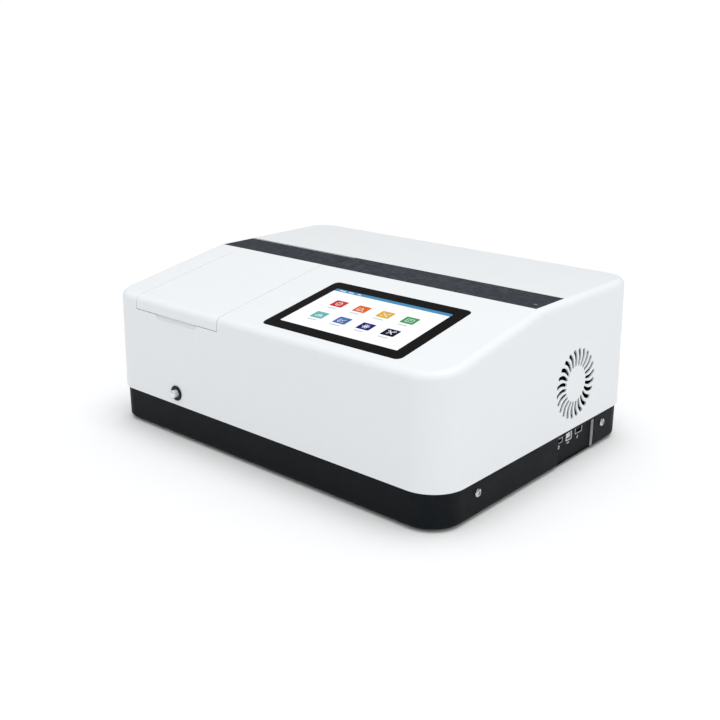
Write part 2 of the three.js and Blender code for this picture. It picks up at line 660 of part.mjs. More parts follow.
function makePowerEntry() {
  const faceY = backY + gap;
  const flangeThick = 1.8;
  const plugZ = inletZ + (inlet.bodyHeight - inlet.cavityHeight) / 2 - 1;
  const drawerZ = inletZ - (inlet.bodyHeight - drawer.height) / 2 + 1.5;
  const body = join(
    extrudeY(
      roundedOutline(inlet.width, inlet.height, 3, 3).map(([x, z]) => [x + inlet.x, z + inletZ]),
      [faceY, faceY + flangeThick],
    ),
    block(span(inlet.x, 38), [faceY - 20, faceY + 1], span(inletZ, inlet.bodyHeight)),
  );
  const cavityBack = faceY + flangeThick - inlet.cavityDepth;
  const cavity = block(
    span(inlet.x, inlet.cavityWidth), [cavityBack, faceY + 10], span(plugZ, inlet.cavityHeight),
  );
  const drawerSeat = block(
    span(inlet.x, drawer.width + 2 * gap), [faceY - 14, faceY + 10],
    span(drawerZ, drawer.height + 2 * gap),
  );
  const pins = [[-7, 1], [0, -3], [7, 1]].map(([x, z]) => block(
    span(inlet.x + x, 2), [cavityBack - 1, cavityBack + inlet.cavityDepth - 5.5], span(plugZ + z, 4),
  ));
  piece('power_inlet', join(cut(body, cavity, drawerSeat), ...pins), 'black');
  piece('fuse_drawer', block(
    span(inlet.x, drawer.width), [faceY - 13, faceY + flangeThick - 0.4],
    span(drawerZ, drawer.height),
  ), 'black');

  // The rocker turns about an axis along X, just behind the face of its frame.
  const pivotY = faceY - 4;
  const opening = 2 * rocker.reach + 1.2;
  const frame = join(
    block(span(rocker.x, rocker.frameWidth), [faceY, faceY + flangeThick], span(inletZ, rocker.frameHeight)),
    block(span(rocker.x, 15.6), [faceY - 16, faceY + 1], span(inletZ, 23)),
  );
  const well = block(
    span(rocker.x, rocker.width + 2 * gap), [pivotY - rocker.reach - 1, faceY + 10],
    span(inletZ, opening),
  );
  piece('switch_frame', cut(frame, well), 'black');

  const tilt = THREE.MathUtils.degToRad(rocker.tilt / 2);
  const face = 2.8;
  const outline = [[face, 0]];
  for (const side of [1, -1]) {
    const raised = [face + 7.6 * Math.tan(tilt), side * 7.6];
    outline[side > 0 ? 'push' : 'unshift'](raised);
  }
  outline.push([0, 8.4], [-5, 5], [-5, -5], [0, -8.4]);
  const turned = outline.map(([y, z]) => [
    pivotY + y * Math.cos(tilt) - z * Math.sin(tilt),
    inletZ + y * Math.sin(tilt) + z * Math.cos(tilt),
  ]);
  piece('power_rocker', extrudeX(turned, span(rocker.x, rocker.width)), 'black');
}

// ---------------------------------------------------------------- fan

function makeFan() {
  const outX = rightAt(fanZ + fan.size / 2) - wall - 1.5;
  const inX = outX - fan.depth;
  const frame = cut(
    block([inX, outX], span(fanY, fan.size), span(fanZ, fan.size)),
    bar('x', fan.bore, [inX - 5, outX + 5], [fanY, fanZ], 40),
  );
  const strutThick = 3;
  const struts = [0, 1, 2].map((i) => {
    const reach = fan.bore + 1;
    const angle = (i / 3) * Math.PI * 2 + 0.5;
    const across = [-Math.sin(angle) * 2, Math.cos(angle) * 2];
    const end = [fanY + Math.cos(angle) * reach, fanZ + Math.sin(angle) * reach];
    return extrudeX([
      [fanY - across[0], fanZ - across[1]], [end[0] - across[0], end[1] - across[1]],
      [end[0] + across[0], end[1] + across[1]], [fanY + across[0], fanZ + across[1]],
    ], [inX, inX + strutThick]);
  });
  const motorPlate = bar('x', fan.hub, [inX, inX + strutThick], [fanY, fanZ]);
  piece('fan_frame', join(frame, motorPlate, ...struts), 'motor');

  const hubX = [inX + strutThick + 1, outX - 2];
  const blades = Array.from({ length: fan.blades }, (_, i) => {
    const geometry = new THREE.BoxGeometry(hubX[1] - hubX[0] + 2, fan.tip - fan.hub + 3, 1.6);
    geometry.rotateY(THREE.MathUtils.degToRad(35)).scale(0.9, 1, 1);
    geometry.translate(0, (fan.tip + fan.hub) / 2 - 1.5, 0);
    geometry.rotateX((i / fan.blades) * Math.PI * 2);
    geometry.translate((hubX[0] + hubX[1]) / 2, fanY, fanZ);
    return solid(geometry);
  });
  const envelope = bar('x', fan.tip, hubX, [fanY, fanZ], 40);
  const hub = bar('x', fan.hub, hubX, [fanY, fanZ], 32);
  piece('fan_rotor', join(hub, ...blades).intersect(envelope), 'motor');
}

// ---------------------------------------------------------------- optics

const bench = { rise: 4, thickness: 6, margin: 5, legRadius: 5, legInset: 20 };
const benchTop = trayTop + bench.rise + bench.thickness;
const mono = { wall: 2.5, frontReach: 36, backReach: 150, height: 62 };
const monoFront = beamY - mono.frontReach;
const monoBack = beamY + mono.backReach;
const lampBox = { wall: 1.5, width: 86, front: 58, back: 102, height: 64, rightMargin: 40 };
const lampRight = halfWidth - lampBox.rightMargin;
const lampLeft = lampRight - lampBox.width;
const monoRight = lampLeft - 6;
const monoLeft = wellRight + wellWall + 13;
const lampX = (lampLeft + lampRight) / 2;
const foldInset = 18; // folding mirrors and large mirrors, in from the housing's side walls
const entryX = monoRight - foldInset;
const exitX = monoLeft + foldInset;
const gratingX = (entryX + exitX) / 2;
const gratingY = beamY + 26;
const shaftRadius = 4;
const underside = trayTop + bench.rise;

// An upright plate standing on the bench, turned about Z; its face looks along its own +Y.
function uprightPlate(x, y, degrees, plateWidth, plateThick, low, high) {
  const geometry = new THREE.BoxGeometry(plateWidth, plateThick, high - low);
  geometry.rotateZ(THREE.MathUtils.degToRad(degrees)).translate(x, y, (low + high) / 2);
  return solid(geometry);
}

function makeBench() {
  const x = [monoLeft - bench.margin, lampRight + bench.margin];
  const y = [monoFront - bench.margin - 20, monoBack + bench.margin];
  const legs = [];
  for (const legX of [x[0] + bench.legInset, x[1] - bench.legInset]) {
    for (const legY of [y[0] + bench.legInset, y[1] - bench.legInset]) {
      legs.push(bar('z', bench.legRadius, [trayFloor + gap, underside + 1], [legX, legY], 12));
    }
  }
  const hole = bar('z', shaftRadius + 0.6, [underside - 5, benchTop + 5], [gratingX, gratingY], 16);
  piece('optical_bench', cut(join(block(x, y, [underside, benchTop]), ...legs), hole), 'aluminium');
}

function makeMonochromator() {
  const z = [benchTop + gap, benchTop + mono.height];
  const housing = cut(
    block([monoLeft, monoRight], [monoFront, monoBack], z),
    block(
      [monoLeft + mono.wall, monoRight - mono.wall], [monoFront + mono.wall, monoBack - mono.wall],
      [z[0] - 5, z[1] - mono.wall],
    ),
    bar('x', 5, [monoLeft - 10, monoRight + 10], [beamY, beamZ], 16),
  );
  piece('monochromator_housing', housing, 'anodised');

  const slits = { entrance_slit: [monoRight + gap, 1], exit_slit: [monoLeft - gap, -1] };
  for (const [name, [x, out]] of Object.entries(slits)) {
    const plate = bar('x', 9, [x, x + out * 2].sort((a, b) => a - b), [beamY, beamZ]);
    const slit = block([x - 10, x + 10], span(beamY, 0.8), span(beamZ, 8));
    piece(name, cut(plate, slit), 'steel');
  }

  const low = benchTop + gap;
  const high = beamZ + 16;
  const mirrors = {
    entry_fold_mirror: [entryX, beamY, 45, 22, 5],
    exit_fold_mirror: [exitX, beamY, -45, 22, 5],
    collimating_mirror: [entryX, monoBack - 16, 167, 28, 9],
    focusing_mirror: [exitX, monoBack - 16, -167, 28, 9],
  };
  for (const [name, [x, y, turn, plateWidth, thick]] of Object.entries(mirrors)) {
    piece(name, uprightPlate(x, y, turn, plateWidth, thick, low, high), 'mirror');
  }
}

function makeGrating() {
  const tableZ = [benchTop + 2, benchTop + 6];
  const shaft = bar('z', shaftRadius, [underside - 5, tableZ[0] + 1], [gratingX, gratingY], 16);
  const table = bar('z', 19, tableZ, [gratingX, gratingY], 32);
  piece('grating_table', join(table, shaft), 'aluminium');
  piece('diffraction_grating', uprightPlate(
    gratingX, gratingY, 0, 30, 8, tableZ[1] + gap, beamZ + 15,
  ), 'mirror');
  const motorTop = underside - 5 - gap;
  const body = block(span(gratingX, 36), span(gratingY, 36), [trayFloor + gap, motorTop - 1.5]);
  const boss = bar('z', 11, [motorTop - 3, motorTop], [gratingX, gratingY]);
  piece('grating_motor', join(body, boss), 'motor');
}

function makeLampHouse() {
  const z = [benchTop + gap, benchTop + lampBox.height];
  const y = [beamY - lampBox.front, beamY + lampBox.back];
  const housing = cut(
    block([lampLeft, lampRight], y, z),
    block(
      [lampLeft + lampBox.wall, lampRight - lampBox.wall],
      [y[0] + lampBox.wall, y[1] - lampBox.wall], [z[0] + lampBox.wall, above],
    ),
    bar('x', 6, [lampLeft - 10, lampLeft + 10], [beamY, beamZ], 16),
  );
  piece('lamp_housing', housing, 'aluminium');

  const floor = z[0] + lampBox.wall + gap;
  const arc = beamY + 66;
  piece('deuterium_lamp', join(
    bar('z', 17, [floor, floor + 8], [lampX, arc]),
    bar('z', 14, [floor + 7, beamZ + 22], [lampX, arc]),
    bar('z', 5, [beamZ + 21, beamZ + 29], [lampX, arc], 16, 12),
  ), 'bulb');
  const filament = beamY - 40;
  piece('tungsten_lamp', join(
    block(span(lampX, 22), span(filament, 16), [floor, floor + 12]),
    bar('z', 5.5, [floor + 11, beamZ + 8], [lampX, filament], 16),
    bar('z', 1.5, [beamZ + 7, beamZ + 12], [lampX, filament], 12, 5),
  ), 'bulb');

  // At rest the mirror turns the deuterium lamp's light into the slit; a quarter turn about its
  // post brings the tungsten lamp in.
  const post = bar('z', 3, [floor, beamZ - 9], [lampX, beamY], 16);
  const plate = uprightPlate(lampX, beamY, 45, 24, 3, beamZ - 10, beamZ + 12);
  piece('lamp_mirror', join(post, plate), 'mirror');

  const wheelY = beamY - 13.5;
  const wheelX = lampLeft + lampBox.wall + 7;
  const wheel = { radius: 20, ring: 13.5, hole: 4.5, thickness: 3, count: 6 };
  const disc = bar('x', wheel.radius, [wheelX, wheelX + wheel.thickness], [wheelY, beamZ], 36);
  const filters = Array.from({ length: wheel.count }, (_, i) => {
    const angle = (i / wheel.count) * Math.PI * 2;
    const at = [wheelY + wheel.ring * Math.cos(angle), beamZ + wheel.ring * Math.sin(angle)];
    return bar('x', wheel.hole, [wheelX - 5, wheelX + 10], at, 16);
  });
  const axle = bar('x', 2, [wheelX + 1, wheelX + wheel.thickness + 3], [wheelY, beamZ], 12);
  piece('filter_wheel', join(cut(disc, ...filters), axle), 'anodised');
  const motorX = wheelX + wheel.thickness + 3 + gap;
  piece('filter_motor', join(
    bar('x', 8.5, [motorX, motorX + 11], [wheelY - 1, beamZ]),
    block([motorX + 2, motorX + 9], span(wheelY - 4, 10), [floor, beamZ]),
  ), 'motor');
}

// ---------------------------------------------------------------- detector and electronics

function makeDetector() {
  const right = wellLeft - wellWall - 4;
  const left = right - 30;
  const body = join(
    block([left, right], span(beamY, 40), [beamZ - 22, beamZ + 22]),
    block([left, right], span(beamY, 20), [trayFloor + gap, beamZ - 20]),
  );
  const window = bar('x', 6, [right - 10, right + 10], [beamY, beamZ]);
  piece('detector_housing', cut(body, window), 'anodised');
}

function makeElectronics() {
  const boardX = [lidLeft - 20, lidRight - 15];
  const boardY = [stripBack - 15, halfDepth - 22];
  const z = trayTop + 12;
  const chips = [[30, 30, 22, 22, 3], [80, 34, 14, 14, 2], [40, 78, 18, 10, 3], [95, 84, 26, 12, 9],
    [14, 92, 12, 16, 11], [112, 24, 12, 30, 10], [64, 96, 10, 10, 8]];
  const parts = chips.map(([x, y, w, d, h]) => block(
    [boardX[0] + x, boardX[0] + x + w], [boardY[0] + y, boardY[0] + y + d], [z + 1, z + 1.6 + h],
  ));
  const posts = [];
  for (const px of [boardX[0] + 5, boardX[1] - 5]) {
    for (const py of [boardY[0] + 5, boardY[1] - 5]) {
      posts.push(bar('z', 3, [trayFloor + gap, z + 0.5], [px, py], 12));
    }
  }
  piece('main_board', join(block(boardX, boardY, [z, z + 1.6]), ...parts, ...posts), 'board');

  const supplyY = [monoBack + 12, backY - 24];
  const supply = block([exitX, entryX + 30], supplyY, [trayFloor + gap, trayTop + 36]);
  const fins = Array.from({ length: 9 }, (_, i) => {
    const x = exitX + 14 + i * 14;
    return block(span(x, 4), [supplyY[0] - 1, supplyY[0] + 2], [trayTop, trayTop + 28]);
  });
  piece('power_supply', cut(supply, ...fins), 'aluminium');
}

makeTray();
makeCover();
makeFeet();
makeSideScrews();
makeScreen();
makeNameStrip();
makeWell();
makeChanger();
makeLid();
makeHinge();
makeConnectors();
makePowerEntry();
makeFan();
makeBench();
makeMonochromator();
makeGrating();
makeLampHouse();
makeDetector();
makeElectronics();

// The knob's tip and the back of the cover end up equally far from the origin.
instrument.position.y = -(frontAt(rodZ) - knob.proud + halfDepth) / 2;

export default instrument;
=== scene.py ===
# A benchtop UV-visible spectrophotometer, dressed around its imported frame.
#
# Shapes are worked out in millimetres in the frame's own axes (+X right, +Y back, +Z up) and
# turned into metres when a mesh is made. Places come from the frame's nodes.

import math

import bmesh
import bpy
from mathutils import Matrix, Vector


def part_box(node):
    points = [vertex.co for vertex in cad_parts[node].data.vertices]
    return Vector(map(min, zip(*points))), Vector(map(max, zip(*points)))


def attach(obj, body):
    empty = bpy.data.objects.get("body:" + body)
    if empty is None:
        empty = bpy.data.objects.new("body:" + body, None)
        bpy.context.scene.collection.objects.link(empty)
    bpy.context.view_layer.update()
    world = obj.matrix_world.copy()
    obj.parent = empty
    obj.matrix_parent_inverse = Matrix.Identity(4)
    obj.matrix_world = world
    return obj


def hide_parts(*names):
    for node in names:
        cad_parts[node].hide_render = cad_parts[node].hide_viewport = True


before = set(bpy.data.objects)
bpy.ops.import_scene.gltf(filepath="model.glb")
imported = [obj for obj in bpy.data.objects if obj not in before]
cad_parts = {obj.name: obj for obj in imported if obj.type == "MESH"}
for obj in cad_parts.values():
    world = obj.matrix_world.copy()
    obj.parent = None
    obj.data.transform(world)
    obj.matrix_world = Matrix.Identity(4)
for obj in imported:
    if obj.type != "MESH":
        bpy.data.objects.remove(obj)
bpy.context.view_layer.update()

MM = 0.001
scene = bpy.context.scene


def corners(node):
    """Lowest and highest corner of a node, in millimetres."""
    low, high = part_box(node)
    return Vector(low) / MM, Vector(high) / MM


# ---------------------------------------------------------------- sizes taken from the frame

cover_low, cover_high = corners("top_cover")
tray_low, tray_high = corners("base_tray")
strip_low, strip_high = corners("name_strip")
lid_low, lid_high = corners("lid_shell")
glass_low, glass_high = corners("screen_glass")
collar_low, collar_high = corners("rod_collar")
knob_low, knob_high = corners("pull_knob")
panel_low, panel_high = corners("connector_panel")
fan_low, fan_high = corners("fan_frame")
inlet_low, inlet_high = corners("power_inlet")
rail_low, rail_high = corners("hinge_rail")

half_width = cover_high.x
mid_y = (cover_low.y + cover_high.y) / 2
half_depth = cover_high.y - mid_y
tray_top = cover_low.z
top_z = cover_high.z
ridge_y = strip_low.y
tray_side = tray_high.x
tray_back = tray_high.y

# ---------------------------------------------------------------- sizes of its own

wall = 3.2
gap = 0.3
seam = 0.6
corner_radii = {"back": 33, "front_left": 24.5, "front_right": 38}
front_edge_radius = 7
top_edge_radius = 8
front_rise = 113.3
draft = math.tan(math.radians(1.14))
tray_inset = half_width - tray_side
tray_edge_radius = 4.5
tray_wall = 2.5
rim_height = 6

front_face_y = mid_y - half_depth + front_rise * draft
slope = (top_z - tray_top - front_rise) / (ridge_y - front_face_y)
slope_angle = math.atan(slope)


def surface_at(y):
    return top_z - (ridge_y - y) * slope if y < ridge_y else top_z


def front_at(z):
    return mid_y - half_depth + (z - tray_top) * draft


def right_at(z):
    return half_width - (z - tray_top) * draft


# ---------------------------------------------------------------- making meshes


def make(name, points, faces):
    """A mesh object from points in millimetres, with its faces turned outwards."""
    mesh = bpy.data.meshes.new(name)
    mesh.from_pydata([tuple(c * MM for c in p) for p in points], [], faces)
    shape = bmesh.new()
    shape.from_mesh(mesh)
    bmesh.ops.recalc_face_normals(shape, faces=shape.faces)
    shape.to_mesh(mesh)
    shape.free()
    obj = bpy.data.objects.new(name, mesh)
    scene.collection.objects.link(obj)
    return obj


def stack(rings, bottom=None, top=None):
    """Points and faces of closed rings laid one on another; the ends are closed with the given
    lists of indices into a ring, or with one face each."""
    count = len(rings[0])
    whole = [list(range(count))]
    faces = []
    for k in range(len(rings) - 1):
        low = k * count
        high = low + count
        for i in range(count):
            j = (i + 1) % count
            faces.append((low + i, low + j, high + j, high + i))
    last = (len(rings) - 1) * count
    faces += [tuple(reversed(face)) for face in (bottom or whole)]
    faces += [tuple(last + i for i in face) for face in (top or whole)]
    return [p for ring in rings for p in ring], faces


def loft(name, rings, bottom=None, top=None):
    return make(name, *stack(rings, bottom, top))


PLACE = {
    "x": lambda a, b, h: (h, a, b),
    "y": lambda a, b, h: (a, h, b),
    "z": lambda a, b, h: (a, b, h),
}


def extrude(name, outline, low, high, axis="z"):
    """A flat outline drawn across an axis ('x': y, z; 'y': x, z; 'z': x, y) and drawn out along it."""
    place = PLACE[axis] if isinstance(axis, str) else axis
    return loft(name, [[place(a, b, h) for a, b in outline] for h in (low, high)])


def extrude_all(name, outlines, low, high, axis="z"):
    """Several outlines drawn out side by side in one mesh."""
    place = PLACE[axis] if isinstance(axis, str) else axis
    points = []
    faces = []
    for outline in outlines:
        some, sides = stack([[place(a, b, h) for a, b in outline] for h in (low, high)])
        faces += [tuple(len(points) + i for i in face) for face in sides]
        points += some
    return make(name, points, faces)


def block(name, low, high):
    outline = [(low[0], low[1]), (high[0], low[1]), (high[0], high[1]), (low[0], high[1])]
    return extrude(name, outline, low[2], high[2])


def circle(radius, steps=48, at=(0, 0), start=0.0):
    turn = 2 * math.pi / steps
    return [
        (at[0] + radius * math.cos(start + i * turn), at[1] + radius * math.sin(start + i * turn))
        for i in range(steps)
    ]


def rounded(width, height, radius, at=(0, 0), steps=8):
    points = []
    for quarter, (sx, sy) in enumerate([(1, 1), (-1, 1), (-1, -1), (1, -1)]):
        for i in range(steps + 1):
            angle = (quarter + i / steps) * math.pi / 2
            a = sx * (width / 2 - radius) + radius * math.cos(angle)
            b = sy * (height / 2 - radius) + radius * math.sin(angle)
            points.append((at[0] + a, at[1] + b))
    return points


def lathe(name, profile, axis, at, steps=48):
    """Turns (radius, height) pairs, lowest first, about an axis through at. Heights run along it."""
    place = PLACE[axis]
    rings = []
    for radius, height in profile:
        rings.append([place(a, b, height) for a, b in circle(radius, steps, at)])
    return loft(name, rings)


def arc(centre, radius, start, end, steps):
    """Points round a quarter or less, as (a, b) pairs; angles in degrees."""
    points = []
    for i in range(steps + 1):
        angle = math.radians(start + (end - start) * i / steps)
        points.append((centre[0] + radius * math.cos(angle), centre[1] + radius * math.sin(angle)))
    return points


def combine(body, tools, operation):
    """Cuts, joins or keeps the overlap, and leaves a plain mesh without the tools."""
    for tool in tools:
        change = body.modifiers.new("shape", "BOOLEAN")
        change.operation = operation
        change.solver = "EXACT"
        change.object = tool
    graph = bpy.context.evaluated_depsgraph_get()
    mesh = bpy.data.meshes.new_from_object(body.evaluated_get(graph))
    body.modifiers.clear()
    body.data = mesh
    for tool in tools:
        bpy.data.objects.remove(tool)
    return body


def cut(body, *tools):
    return combine(body, tools, "DIFFERENCE")


def join(body, *tools):
    return combine(body, tools, "UNION")


def soften(obj, width=0.3, segments=2, angle=35):
    """Small rounds on the sharp edges, with the flat faces kept flat in the shading."""
    for face in obj.data.polygons:
        face.use_smooth = True
    weld = obj.modifiers.new("weld", "WELD")
    weld.merge_threshold = 1e-6
    if width > 0:
        bevel = obj.modifiers.new("edge_round", "BEVEL")
        bevel.width = width * MM
        bevel.segments = segments
        bevel.limit_method = "ANGLE"
        bevel.angle_limit = math.radians(angle)
        bevel.use_clamp_overlap = False
        bevel.miter_outer = "MITER_ARC"
    flat = obj.modifiers.new("flat_faces", "WEIGHTED_NORMAL")
    flat.keep_sharp = True
    return obj


def dress(obj, material, body, stands_for=()):
    """Gives a piece its finish and its body, and hides the frame nodes it stands for."""
    obj.data.materials.clear()
    obj.data.materials.append(material)
    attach(obj, body)
    if stands_for:
        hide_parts(*stands_for)
    return obj


# ---------------------------------------------------------------- shared effects


def group(name, inputs, outputs):
    """An empty shader group with its sockets; inputs and outputs are (name, kind, default)."""
    tree = bpy.data.node_groups.new(name, "ShaderNodeTree")
    for label, kind, value in inputs:
        socket = tree.interface.new_socket(label, in_out="INPUT", socket_type="NodeSocket" + kind)
        socket.default_value = value
    for label, kind in outputs:
        tree.interface.new_socket(label, in_out="OUTPUT", socket_type="NodeSocket" + kind)
    start = tree.nodes.new("NodeGroupInput")
    end = tree.nodes.new("NodeGroupOutput")
    return tree, start, end


def wire(tree, source, out, target, into):
    tree.links.new(source.outputs[out], target.inputs[into])


def math_node(tree, operation, a=None, b=None, value=None, clamp=False):
    node = tree.nodes.new("ShaderNodeMath")
    node.operation = operation
    node.use_clamp = clamp
    if a:
        wire(tree, a[0], a[1], node, 0)
    if b:
        wire(tree, b[0], b[1], node, 1)
    if value is not None:
        node.inputs[1].default_value = value
    return node


def noise_node(tree, coords, scale, detail=3.0, roughness=0.55):
    node = tree.nodes.new("ShaderNodeTexNoise")
    node.inputs["Detail"].default_value = detail
    node.inputs["Roughness"].default_value = roughness
    wire(tree, coords[0], coords[1], node, "Vector")
    if isinstance(scale, tuple):
        wire(tree, scale[0], scale[1], node, "Scale")
    else:
        node.inputs["Scale"].default_value = scale
    return node


def range_node(tree, source, low, high, to_low=0.0, to_high=1.0):
    node = tree.nodes.new("ShaderNodeMapRange")
    node.inputs["From Min"].default_value = low
    node.inputs["From Max"].default_value = high
    node.inputs["To Min"].default_value = to_low
    node.inputs["To Max"].default_value = to_high
    wire(tree, source[0], source[1], node, "Value")
    return node


def colour_mix(tree, factor, a, b, blend="MIX"):
    """Mixes colours; factor, a and b are (node, output) pairs or plain values."""
    node = tree.nodes.new("ShaderNodeMix")
    node.data_type = "RGBA"
    node.blend_type = blend
    for socket, value in ((0, factor), (6, a), (7, b)):
        if isinstance(value, tuple) and hasattr(value[0], "outputs"):
            tree.links.new(value[0].outputs[value[1]], node.inputs[socket])
        else:
            node.inputs[socket].default_value = value
    return node, 2


def make_tone_group():
    """Slow, uneven lightness over a surface, in two sizes of patch."""
    tree, start, end = group(
        "uneven_tone",
        [("Color", "Color", (0.5, 0.5, 0.5, 1)), ("Patch Scale", "Float", 20.0), ("Amount", "Float", 0.05)],
        [("Color", "Color")],
    )
    place = tree.nodes.new("ShaderNodeTexCoord")
    patches = noise_node(tree, (place, "Object"), (start, "Patch Scale"), 4.0)
    finer = math_node(tree, "MULTIPLY", (start, "Patch Scale"), value=7.0)
    specks = noise_node(tree, (place, "Object"), (finer, 0), 2.0)
    both = math_node(tree, "ADD", (patches, "Fac"), (specks, "Fac"))
    centred = math_node(tree, "SUBTRACT", (both, 0), value=1.0)
    swing = math_node(tree, "MULTIPLY", (centred, 0), (start, "Amount"))
    factor = math_node(tree, "ADD", (swing, 0), value=1.0)
    scaled = tree.nodes.new("ShaderNodeVectorMath")
    scaled.operation = "SCALE"
    wire(tree, start, "Color", scaled, 0)
    wire(tree, factor, 0, scaled, "Scale")
    wire(tree, scaled, "Vector", end, "Color")
    return tree


def make_grain_group():
    """Fine moulded or sprayed grain: a height for the bump, and an uneven roughness."""
    tree, start, end = group(
        "fine_grain",
        [("Grain Scale", "Float", 1200.0), ("Roughness", "Float", 0.4), ("Spread", "Float", 0.1)],
        [("Height", "Float"), ("Roughness", "Float")],
    )
    place = tree.nodes.new("ShaderNodeTexCoord")
    grain = noise_node(tree, (place, "Object"), (start, "Grain Scale"), 2.0, 0.6)
    cells = tree.nodes.new("ShaderNodeTexVoronoi")
    wire(tree, place, "Object", cells, "Vector")
    wire(tree, start, "Grain Scale", cells, "Scale")
    height = math_node(tree, "ADD", (grain, "Fac"), (cells, "Distance"))
    wire(tree, height, 0, end, "Height")
    handled = noise_node(tree, (place, "Object"), 35.0, 5.0, 0.65)
    centred = math_node(tree, "SUBTRACT", (handled, "Fac"), value=0.5)
    swing = math_node(tree, "MULTIPLY", (centred, 0), (start, "Spread"))
    rough = math_node(tree, "ADD", (swing, 0), (start, "Roughness"), clamp=True)
    wire(tree, rough, 0, end, "Roughness")
    return tree


def make_wear_group():
    """Lighter, rubbed colour along the outer edges, broken up by noise."""
    tree, start, end = group(
        "edge_wear",
        [("Color", "Color", (0.5, 0.5, 0.5, 1)), ("Worn Color", "Color", (0.8, 0.8, 0.8, 1)),
         ("Amount", "Float", 0.3)],
        [("Color", "Color"), ("Mask", "Float")],
    )
    shape = tree.nodes.new("ShaderNodeNewGeometry")
    place = tree.nodes.new("ShaderNodeTexCoord")
    edge = range_node(tree, (shape, "Pointiness"), 0.52, 0.62)
    broken = noise_node(tree, (place, "Object"), 160.0, 5.0, 0.7)
    patchy = range_node(tree, (broken, "Fac"), 0.42, 0.62)
    mask = math_node(tree, "MULTIPLY", (edge, "Result"), (patchy, "Result"))
    share = math_node(tree, "MULTIPLY", (mask, 0), (start, "Amount"), clamp=True)
    mixed = colour_mix(tree, (share, 0), (start, "Color"), (start, "Worn Color"))
    wire(tree, mixed[0], mixed[1], end, "Color")
    wire(tree, share, 0, end, "Mask")
    return tree


def make_dust_group():
    """A thin film of dust on faces that look up."""
    tree, start, end = group(
        "settled_dust",
        [("Color", "Color", (0.5, 0.5, 0.5, 1)), ("Dust Color", "Color", (0.55, 0.54, 0.52, 1)),
         ("Amount", "Float", 0.05)],
        [("Color", "Color"), ("Mask", "Float")],
    )
    shape = tree.nodes.new("ShaderNodeNewGeometry")
    place = tree.nodes.new("ShaderNodeTexCoord")
    split = tree.nodes.new("ShaderNodeSeparateXYZ")
    wire(tree, shape, "Normal", split, 0)
    upward = range_node(tree, (split, "Z"), 0.3, 0.95)
    drift = noise_node(tree, (place, "Object"), 14.0, 6.0, 0.7)
    specks = noise_node(tree, (place, "Object"), 900.0, 1.0)
    fleck = range_node(tree, (specks, "Fac"), 0.55, 0.72, 0.3, 1.0)
    cloud = range_node(tree, (drift, "Fac"), 0.3, 0.7)
    film = math_node(tree, "MULTIPLY", (upward, "Result"), (cloud, "Result"))
    mask = math_node(tree, "MULTIPLY", (film, 0), (fleck, "Result"))
    share = math_node(tree, "MULTIPLY", (mask, 0), (start, "Amount"), clamp=True)
    mixed = colour_mix(tree, (share, 0), (start, "Color"), (start, "Dust Color"))
    wire(tree, mixed[0], mixed[1], end, "Color")
    wire(tree, share, 0, end, "Mask")
    return tree


def make_brushed_group():
    """Fine lines along one axis, from drawn or brushed metal."""
    tree, start, end = group(
        "brushed_lines",
        [("Stretch", "Vector", (1.0, 1.0, 1.0)), ("Line Scale", "Float", 600.0),
         ("Roughness", "Float", 0.3), ("Spread", "Float", 0.2)],
        [("Height", "Float"), ("Roughness", "Float")],
    )
    place = tree.nodes.new("ShaderNodeTexCoord")
    stretched = tree.nodes.new("ShaderNodeVectorMath")
    stretched.operation = "MULTIPLY"
    wire(tree, place, "Object", stretched, 0)
    wire(tree, start, "Stretch", stretched, 1)
    lines = noise_node(tree, (stretched, "Vector"), (start, "Line Scale"), 4.0, 0.7)
    wire(tree, lines, "Fac", end, "Height")
    centred = math_node(tree, "SUBTRACT", (lines, "Fac"), value=0.5)
    swing = math_node(tree, "MULTIPLY", (centred, 0), (start, "Spread"))
    rough = math_node(tree, "ADD", (swing, 0), (start, "Roughness"), clamp=True)
    wire(tree, rough, 0, end, "Roughness")
    return tree


UNEVEN_TONE = make_tone_group()
FINE_GRAIN = make_grain_group()
EDGE_WEAR = make_wear_group()
SETTLED_DUST = make_dust_group()
BRUSHED_LINES = make_brushed_group()


# ---------------------------------------------------------------- materials


def add_group(tree, shared, **values):
    node = tree.nodes.new("ShaderNodeGroup")
    node.node_tree = shared
    for label, value in values.items():
        node.inputs[label.replace("_", " ")].default_value = value
    return node


def shader(name, **sockets):
    """A material with one Principled shader; constant values go on its own sockets."""
    material = bpy.data.materials.new(name)
    material.use_nodes = True
    tree = material.node_tree
    surface = tree.nodes["Principled BSDF"]
    for label, value in sockets.items():
        surface.inputs[label.replace("_", " ")].default_value = value
    return material, tree, surface


def bump_into(tree, surface, height, strength, distance):
    bump = tree.nodes.new("ShaderNodeBump")
    bump.inputs["Strength"].default_value = strength
    bump.inputs["Distance"].default_value = distance * MM
    tree.links.new(height, bump.inputs["Height"])
    wire(tree, bump, "Normal", surface, "Normal")


def grained(name, color, worn, roughness, tone=0.05, patch=18.0, wear=0.3, dust=0.05, grain=1200.0,
            relief=0.02, spread=0.12, bump=0.25, **sockets):
    """Moulded plastic, paint or rubber: uneven tone, rubbed edges, dust and a fine grain."""
    material, tree, surface = shader(name, **sockets)
    base = add_group(tree, UNEVEN_TONE, Color=color, Patch_Scale=patch, Amount=tone)
    rubbed = add_group(tree, EDGE_WEAR, Worn_Color=worn, Amount=wear)
    dusty = add_group(tree, SETTLED_DUST, Amount=dust)
    fine = add_group(tree, FINE_GRAIN, Grain_Scale=grain, Roughness=roughness, Spread=spread)
    wire(tree, base, "Color", rubbed, "Color")
    wire(tree, rubbed, "Color", dusty, "Color")
    wire(tree, dusty, "Color", surface, "Base Color")
    wire(tree, fine, "Roughness", surface, "Roughness")
    bump_into(tree, surface, fine.outputs["Height"], bump, relief)
    return material


